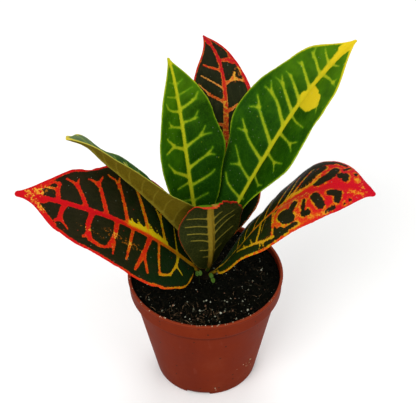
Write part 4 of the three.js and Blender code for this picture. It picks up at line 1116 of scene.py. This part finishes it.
# Loose bits on the soil: the seed of their draws, how many lie anywhere and how many near the front
# edge, their smallest and largest size, their flatness, the share of them that is sunk in, how far
# the front ones spread in radians, and their finish
SOIL_BITS = {
    "soil_crumbs": dict(
        seed=21, anywhere=1350, in_front=150, sizes=(0.5, 2.2), flatness=0.8, sunk=0.35, spread=0.7,
        finish=("peat_crumbs", paints((3, 4, 2), (9, 9, 6), (28, 24, 15)), 0.8, 900)),
    "perlite_grains": dict(
        seed=33, anywhere=170, in_front=70, sizes=(0.3, 1.5), flatness=0.85, sunk=0.3, spread=0.8,
        finish=("perlite", paints((60, 62, 48), (112, 114, 94), (176, 176, 156)), 0.75, 1500)),
    "bark_chips": dict(
        seed=47, anywhere=26, in_front=52, sizes=(0.6, 2), flatness=0.4, sunk=0.35, spread=0.5,
        finish=("bark_bits", paints((34, 24, 16), (92, 66, 48), (150, 112, 86)), 0.75, 700)),
}

# Crumbs stuck to the pot's wall: how many, their height and its spread, and their heading in radians
# and its spread
WALL_CRUMBS = ((17, 20, 3.5, -0.73, 0.09), (5, 6, 1, -1.36, 0.06))


def soil_height(x, y):
    """The plug's crossing ripples with a raised edge, plus clods, 1.1 times layered noise 6 mm
    across, less pits, 1.8 times how far noise 1.7 mm across is from its middle."""
    edge = np.hypot(x, y) / SOIL_RADIUS
    waves = sum(share * np.sin(a * x + b * y + start) for a, b, start, share in RIPPLES)
    clods = layered_noise(x / 6 + 30, y / 6 + 30, 5, 3) - 0.5
    pits = np.abs(layered_noise(x / 1.7 + 30, y / 1.7 + 30, 11, 3) - 0.5)
    plain = SOIL["top"] + SOIL["edge_rise"] * edge**4 + SOIL["relief"] * waves
    return plain + 1.1 * clods - 1.8 * pits + 0.2


def soil_finish():
    """Damp peat, nearly black, with brown flecks and a few pale ones."""
    f = Finish("dark_damp_peat")
    grain, fine = f.noise(f.place, 500, 5, 0.7), f.noise(f.place, 1900, 3)
    colour = f.ramp(f.shift(grain, fine, 0.5), paints((2, 3, 1), (7, 8, 4), (19, 19, 12)))
    colour = f.blend(f.between(f.cells(f.place, 620), 0.14, 0.07, 0, 0.5), colour, paint(78, 66, 46))
    colour = f.blend(f.between(f.cells(f.place, 260), 0.06, 0.03), colour, paint(110, 104, 90))
    normal = f.bump(f.shift(grain, fine, 0.6), 0.5)
    return f.done(colour, f.between(fine, 0.3, 0.7, 0.62, 0.95), normal, 0.02)


def grain_finish(name, colours, roughness, scale):
    """Each grain's own tone, broken by noise, from the first colour to the last."""
    f = Finish(name)
    rough = f.noise(f.place, scale, 4, 0.65)
    colour = f.ramp(f.shift(f.read("tone"), rough, 0.7), colours)
    dull = f.between(rough, 0.3, 0.7, roughness, roughness + 0.15)
    return f.done(colour, dull, f.bump(rough, 0.25), 0.03)


def make_soil():
    """Rings from below: the plug's straight side, as radius and height, and then a disc of rings and
    spokes at the soil's height."""
    spokes, rings, innermost = 340, 120, 0.004
    gap, clearance, wall = SOIL["gap"], SOIL["clearance"], POT["wall"]
    bottom, bend = FLOOR_TOP + gap, FLOOR_TOP + POT["floor_curve"]
    low, middle, high = (body_radius(z) - wall - clearance for z in (bottom, bend, BODY_TOP))
    side = np.array([(low - POT["floor_curve"], bottom), (middle, bend + gap), (high, BODY_TOP + 2 * gap),
                     (SOIL_RADIUS, BODY_TOP + 2 * wall + clearance)])
    angle = np.linspace(0, 2 * np.pi, spokes, endpoint=False)[None, :]
    radius = np.concatenate([side[:, 0], SOIL_RADIUS * np.linspace(1, innermost, rings)])[:, None]
    x, y = radius * np.cos(angle), radius * np.sin(angle)
    height = soil_height(x, y)
    height[:len(side)] = side[:, 1:]
    poles = [(0, 0, bottom), (0, 0, soil_height(np.zeros(1), np.zeros(1))[0])]
    points = np.concatenate([np.stack([x, y, height], -1).reshape(-1, 3), poles])
    make_piece("soil_bed", points, round_faces(len(radius), spokes), "soil", [soil_finish()])


def lump():
    """An octahedron with each face cut in four and pushed out to a ball: 18 points, 32 faces. The
    middles of its edges come after its six corners, in the order in which the faces reach them."""
    axes = np.array([(1, 0, 0), (0, 1, 0), (-1, 0, 0), (0, -1, 0), (0, 0, 1), (0, 0, -1)], float)
    step, beside, top = np.arange(4), (np.arange(4) + 1) % 4, np.full(4, 4)
    corners = np.concatenate([np.stack([step, beside, top], -1), np.stack([beside, step, top + 1], -1)])
    edges = np.sort(np.stack([corners, np.roll(corners, -1, axis=1)], -1).reshape(-1, 2), axis=1)
    pairs, first, which = np.unique(edges, axis=0, return_index=True, return_inverse=True)
    order = np.argsort(first)
    middles = axes[pairs[order]].sum(axis=1) / math.sqrt(2)
    a, b, c = corners.T
    ab, bc, ca = len(axes) + np.argsort(order)[which.reshape(-1, 3)].T
    quarters = [(a, ab, ca), (ab, b, bc), (ca, bc, c), (ab, bc, ca)]
    return np.concatenate([axes, middles]), np.moveaxis(np.array(quarters), -1, 0).reshape(-1, 3)


def random_turns(random, count):
    """Turning matrices from random unit quaternions."""
    w, x, y, z = random.normal(size=(count, 4)).T
    size = np.sqrt(w * w + x * x + y * y + z * z)
    w, x, y, z = w / size, x / size, y / size, z / size
    rows = [[1 - 2 * (y * y + z * z), 2 * (x * y - z * w), 2 * (x * z + y * w)],
            [2 * (x * y + z * w), 1 - 2 * (x * x + z * z), 2 * (y * z - x * w)],
            [2 * (x * z - y * w), 2 * (y * z + x * w), 1 - 2 * (x * x + y * y)]]
    return np.moveaxis(np.array(rows), -1, 0)


def scatter_spots(random, count, inner, outer):
    """Random places on the soil, even by area between two radii."""
    radius = np.sqrt(random.uniform(inner**2, outer**2, count))
    angle = random.uniform(0, 2 * np.pi, count)
    return radius * np.cos(angle), radius * np.sin(angle)


def front_spots(random, count, inner, outer, spread, middle=-np.pi / 2):
    """Random places between two radii, gathered about one direction: a normal spread of angles."""
    radius = random.uniform(inner, outer, count)
    angle = middle + spread * random.normal(size=count)
    return radius * np.cos(angle), radius * np.sin(angle)


def random_sizes(random, count, sizes, power=2.5):
    """Sizes between two limits, mostly small: low + (high - low) * r^power."""
    return sizes[0] + (sizes[1] - sizes[0]) * random.random(count) ** power


def lumps(name, random, centre, size, flatness, finish, rough=0.22):
    """Many lumps as one mesh. Each is a ball with jittered points, stretched and turned at random
    about its centre; tone is a random number for each lump."""
    ball, ball_faces = lump()
    count = len(size)
    stretch = np.stack([size, size * random.uniform(0.6, 1, count), size * flatness], -1) / 2
    shape = ball[None] * (1 + rough * random.normal(size=(count, len(ball), 1))) * stretch[:, None]
    points = np.einsum("nij,npj->npi", random_turns(random, count), shape) + centre[:, None]
    faces = (ball_faces[None] + np.arange(count)[:, None, None] * len(ball)).reshape(-1, 3)
    tone = np.repeat(random.random(count), len(ball))
    make_piece(name, points, faces.tolist(), None, [finish], dict(tone=tone))


def soil_lumps(name, bits):
    """Lumps sunk part way into the soil: some scattered evenly, some gathered near the front edge."""
    random = np.random.default_rng(bits["seed"])
    inner, outer, front = 4.5, 41.5, 24
    spots = [scatter_spots(random, bits["anywhere"], inner, outer),
             front_spots(random, bits["in_front"], front, outer, bits["spread"])]
    x, y = np.concatenate(spots, axis=1)
    size = random_sizes(random, len(x), bits["sizes"])
    centre = np.stack([x, y, soil_height(x, y) + size * (0.5 - bits["sunk"])], -1)
    lumps(name, random, centre, size, bits["flatness"], grain_finish(*bits["finish"]))


def spilt_crumbs():
    """Crumbs on the front of the lip and stuck low on the wall, each on the pot's surface."""
    random = np.random.default_rng(59)
    on_lip, inner, outer, spread = 60, 43.55, 44.5, 0.75
    x, y = front_spots(random, on_lip, inner, outer, spread)
    lip = np.stack([x, y, np.full(on_lip, POT["height"] + 0.02)], -1)
    height = np.concatenate([random.normal(at, around, count) for count, at, around, _, _ in WALL_CRUMBS])
    angle = np.concatenate([random.normal(at, around, count) for count, _, _, at, around in WALL_CRUMBS])
    radius = body_radius(height) + 0.05
    wall = np.stack([radius * np.cos(angle), radius * np.sin(angle), height], -1)
    centre = np.concatenate([lip, wall])
    size = random_sizes(random, len(centre), (0.35, 1.1), 1.6)
    finish = grain_finish("pale_crumbs", paints((84, 58, 40), (150, 116, 88), (204, 184, 154)), 0.75, 900)
    lumps("spilt_crumbs", random, centre, size, 0.6, finish)


def make_fibres():
    """Root and coir threads: each a bent line of nine points, with a three-sided section that tapers
    to both ends. The line is a start point plus a run of s * length along its heading and
    sway * cos(pi s) sideways, for s from -1/2 to 1/2, laid on the soil with its middle lifted."""
    random = np.random.default_rng(71)
    anywhere, in_front, stations, sides, outer = 60, 60, 9, 3, 41.8
    count = anywhere + in_front
    spots = [scatter_spots(random, anywhere, 12, 41), front_spots(random, in_front, 26, 41, 0.45, -1.7)]
    x, y = np.concatenate(spots, axis=1)[..., None]
    heading = random.uniform(0, 2 * np.pi, (count, 1))
    length = random.uniform(1.5, 7, (count, 1))
    sway = random.uniform(-0.25, 0.25, (count, 1)) * length
    s = np.linspace(-0.5, 0.5, stations)[None, :]
    run, bend = s * length, sway * np.cos(s * np.pi)
    x = x + run * np.cos(heading) - bend * np.sin(heading)
    y = y + run * np.sin(heading) + bend * np.cos(heading)
    inwards = np.minimum(1, outer / np.hypot(x, y))
    x, y = x * inwards, y * inwards
    z = soil_height(x, y) + 0.12 + random.uniform(-0.1, 0.5, (count, 1)) * np.cos(s * np.pi) ** 2
    thick = (random.uniform(0.06, 0.15, (count, 1)) * (1 - 0.6 * np.abs(2 * s)))[..., None]
    turn = np.linspace(0, 2 * np.pi, sides, endpoint=False)
    out, rise = thick * np.cos(turn), thick * np.sin(turn)
    points = np.stack([x[..., None] - out * np.sin(heading)[..., None],
                       y[..., None] + out * np.cos(heading)[..., None], z[..., None] + rise], -1)
    starts = np.arange(count)[:, None, None] * stations * sides
    end = (stations - 1) * sides
    quads = (grid_faces(stations, sides, 0, True) + starts).reshape(-1, 4)
    caps = (np.array([(2, 1, 0), (end, end + 1, end + 2)]) + starts).reshape(-1, 3)
    tone = np.repeat(random.random(count), stations * sides)
    finish = grain_finish("pale_fibres", paints((36, 29, 19), (84, 66, 45), (150, 122, 90)), 0.7, 900)
    faces = quads.tolist() + caps.tolist()
    make_piece("root_fibres", points, faces, None, [finish], dict(tone=tone))


# Stem and seedlings

# Each seedling's foot (x, y), height, leaf length and width, the heading of its first leaf in radians,
# and how much its leaves rise towards the back
SEEDLINGS = {
    "sprout_left": dict(name="seedling_left", foot=(-3.8, -6.3), height=8.1, leaf_length=2.2,
                        leaf_width=2.7, turn=0.2, lean=0.6),
    "sprout_right": dict(name="seedling_right", foot=(3.9, -7.4), height=5.6, leaf_length=3.2,
                         leaf_width=2.4, turn=2, lean=0.4),
}

# The stalk and the leaves of both. Between is the turn in radians from the first leaf to the second.
STALK = dict(sides=10, stations=24, buried=3, radius=0.34, taper=0.1, bend=0.25)
SEED_LEAF = dict(rows=20, columns=15, half_thickness=0.25, cup=0.3, between=3, overlap=0.2, below=0.4)


def stem_finish():
    """Young bark with a long grain and corky dots, in tones partly darkened as painted shade, and with
    painted shade near the soil.
    """
    f = Finish("young_green_bark")
    long_grain = f.noise(f.place, 260, 5, 0.65, stretch=(1, 1, 0.18))
    # Bark tones: partly the bark's own, partly painted shade, kept dark for the stem's place under the
    # leaves.
    colour = f.ramp(f.shift(long_grain, f.noise(f.place, 1300, 3), 0.5),
                    paints((16, 18, 8), (36, 36, 16), (72, 66, 34)))
    cork = f.between(f.cells(f.place, 420), 0.2, 0.1, 0, 0.7)
    colour = f.blend(cork, colour, paint(84, 70, 46))
    # Painted shade: the bark darkens towards the soil, where the leaves shade the stem.
    shade_gone_at, shade_full_at = (SOIL["top"] + 17) * MM, (SOIL["top"] + 7) * MM
    colour = f.blend(f.between(f.height(), shade_gone_at, shade_full_at, 0, 0.85), colour, paint(16, 9, 6))
    return f.done(colour, 0.6, f.bump(f.shift(long_grain, cork, 0.5), 0.3), 0.04)


def make_stem():
    """The stem's profile turned about the upright axis, with leaf scars: rings of 0.3 times a bell of
    width 0.4 about each scar, tilted by 0.5 sin(angle + z), and furrows of
    0.12 sin(7 angle + 0.3 z) sin(3 angle - 0.5 z). Both fade towards the bud's tip, and from just
    above the soil up to that tip the bark lies 0.3 deeper."""
    base, top, swell = STEM["base_radius"], STEM["top_radius"], STEM["swelling"]
    middle = (base + top) / 2
    low, high, end, tip = STEM["low_node"], STEM["high_node"], STEM["top"], STEM["bud_tip"]
    ground = SOIL["top"]
    profile = [(0, STEM["bottom"]), (base, STEM["bottom"]), (base, ground + 2), (middle, ground + 6),
               (middle + swell, low), (middle - swell, (low + high) / 2), (top + swell, high),
               (top, (high + 2 * end) / 3), (top - swell, end), (STEM["bud_radius"], (end + tip) / 2),
               (0.4, tip - 0.3), (0, tip)]
    scars = (71.5, 74.2, 77, 80.4, 83.6, 86.8, 90.5, 94)

    def bark(angle, z, radius):
        """What rings and furrows add to the radius."""
        tilted = z + 0.5 * np.sin(angle + z)
        rings = sum(0.3 * bell(tilted, scar, 0.4) for scar in scars)
        furrows = 0.12 * np.sin(7 * angle + 0.3 * z) * np.sin(3 * angle - 0.5 * z)
        deeper = 0.3 * (z > ground + 1) * (radius > 1)
        return (rings + furrows) * smooth_step(radius, 0.3, 1.4) - deeper

    points, faces = turned(close_spaced(rounded(profile, 2), 0.35), 72, bark)
    make_piece("woody_stem", points, faces, "stem", [stem_finish()])


def seedling_finish():
    """Soft green leaves on a dark stalk: the field leafy is 1 on the leaves."""
    f = Finish("soft_seedling_green")
    cloud, fine = f.noise(f.place, 500, 3), f.noise(f.place, 2500, 2)
    leaf = f.ramp(f.shift(cloud, fine, 0.5), paints((38, 66, 14), (62, 92, 24), (92, 120, 44)))
    stalk = f.blend(cloud, paint(14, 18, 7), paint(34, 42, 16))
    return f.done(f.blend(f.read("leafy"), stalk, leaf), 0.45, f.bump(fine, 0.05, 0.8), 0.1)


def seedling_leaf(sprout, heading):
    """The upper and then the under skin of a small round leaf that points along the heading, from the
    stalk's top. Along s its half width is that of the leaf times sin(pi s)^0.5. Each skin lies half
    a thickness, times the root of 1 - u², off a cup that rises as u² and has a crease along it."""
    rows, columns, overlap = SEED_LEAF["rows"], SEED_LEAF["columns"], SEED_LEAF["overlap"]
    s = np.linspace(0.02, 0.98, rows)[:, None]
    u = np.linspace(-1, 1, columns)[None, :]
    half = sprout["leaf_width"] / 2 * np.sin(np.pi * s) ** 0.5
    along, across = sprout["leaf_length"] * s - overlap, half * u
    cup = SEED_LEAF["cup"] * u * u * (half / half.max()) + 0.1 * along - 0.12 * bell(across, 0, 0.3)
    skin = SEED_LEAF["half_thickness"] * np.sqrt(np.maximum(0.02, 1 - u * u)) * np.ones_like(s)
    x = along * np.cos(heading) - across * np.sin(heading)
    y = along * np.sin(heading) + across * np.cos(heading)
    z = SOIL["top"] + sprout["height"] - SEED_LEAF["below"] + cup + sprout["lean"] * y
    return np.concatenate([np.stack([x, y, z + offset], -1).reshape(-1, 3) for offset in (skin, -skin)])


def make_seedling(node, finish):
    """A bent thread of a stalk, a tube about a line that leans out as sin(pi s), and two leaves."""
    sprout = SEEDLINGS[node]
    sides, stations = STALK["sides"], STALK["stations"]
    s = np.linspace(0, 1, stations)[:, None]
    turn = np.linspace(0, 2 * np.pi, sides, endpoint=False)[None, :]
    radius = STALK["radius"] - STALK["taper"] * s
    height = SOIL["top"] - STALK["buried"] + (sprout["height"] + STALK["buried"]) * s
    stalk = np.stack([STALK["bend"] * np.sin(np.pi * s) + radius * np.cos(turn), radius * np.sin(turn),
                      np.broadcast_to(height, (stations, sides))], -1).reshape(-1, 3)
    headings = [sprout["turn"] + SEED_LEAF["between"] * k for k in (0, 1)]
    points = np.concatenate([stalk] + [seedling_leaf(sprout, heading) for heading in headings])
    points = points + np.array((*sprout["foot"], 0))
    faces = grid_faces(stations, sides, 0, True)[:, ::-1].tolist()
    faces += [tuple(range(sides))[::-1], tuple(range((stations - 1) * sides, stations * sides))]
    rows, columns = SEED_LEAF["rows"], SEED_LEAF["columns"]
    for k in (0, 1):
        faces += np.concatenate(sheet_faces(rows, columns, len(stalk) + k * 2 * rows * columns)).tolist()
    leafy = np.arange(len(points)) >= len(stalk)
    make_piece(sprout["name"], points, faces, node, [finish], dict(leafy=leafy))


# Light, floor and camera

# The photo's camera: degrees below level and of roll, distance and target in metres, and lens and
# sensor in mm
CAMERA = dict(pitch=39.5, roll=-0.55, distance=0.6, target=(0.0019, 0, 0.125), lens=94.85, sensor=36)

# Each lamp's name, place and size in metres, and power in watts
LAMPS = (("key", (-0.45, -0.75, 0.95), 0.7, 8.5), ("fill", (0.75, -0.55, 0.6), 0.8, 3.4),
         ("back", (0.1, 0.8, 0.9), 0.7, 4))
SURROUND_STRENGTH = 0.62


def make_stage():
    """A pale floor, a white surround, and three broad lamps that all point at the plant's middle."""
    far = 3000
    corners = [(-far, -far, 0), (far, -far, 0), (far, far, 0), (-far, far, 0)]
    floor = plain_mesh("floor", corners, [(0, 1, 2, 3)])
    floor.data.materials.append(Finish("pale_floor").done(paint(248, 248, 247), 0.9))
    world = bpy.data.worlds.new("soft_studio")
    world.use_nodes = True
    surround = world.node_tree.nodes["Background"].inputs
    surround["Color"].default_value = (1, 1, 1, 1)
    surround["Strength"].default_value = SURROUND_STRENGTH
    bpy.context.scene.world = world
    target = Vector((0, 0, 0.1))
    for name, place, size, power in LAMPS:
        light = bpy.data.lights.new(name, "AREA")
        light.energy, light.size = power, size
        lamp = bpy.data.objects.new(name, light)
        lamp.location = place
        lamp.rotation_euler = (target - Vector(place)).to_track_quat("-Z", "Y").to_euler()
        bpy.context.scene.collection.objects.link(lamp)
    bpy.context.scene.view_settings.view_transform = "Standard"


def make_camera():
    """Looks along +Y and down by the pitch at the target, turned about its own view by the roll."""
    pitch, roll = math.radians(CAMERA["pitch"]), math.radians(CAMERA["roll"])
    forward = Vector((0, math.cos(pitch), -math.sin(pitch)))
    right, up = Vector((1, 0, 0)), Vector((0, math.sin(pitch), math.cos(pitch)))
    axis_x = right * math.cos(roll) + up * math.sin(roll)
    axis_y = up * math.cos(roll) - right * math.sin(roll)
    data = bpy.data.cameras.new("camera")
    data.lens, data.sensor_width = CAMERA["lens"], CAMERA["sensor"]
    camera = bpy.data.objects.new("camera", data)
    turn = Matrix((axis_x, axis_y, -forward)).transposed().to_4x4()
    place = Vector(CAMERA["target"]) - forward * CAMERA["distance"]
    camera.matrix_world = Matrix.Translation(place) @ turn
    bpy.context.scene.collection.objects.link(camera)
    bpy.context.scene.camera = camera


make_stage()
make_camera()
make_pot()
make_soil()
for name, bits in SOIL_BITS.items():
    soil_lumps(name, bits)
spilt_crumbs()
make_fibres()
make_stem()
seedling_green = seedling_finish()
for sprout in SEEDLINGS:
    make_seedling(sprout, seedling_green)
make_leaves()
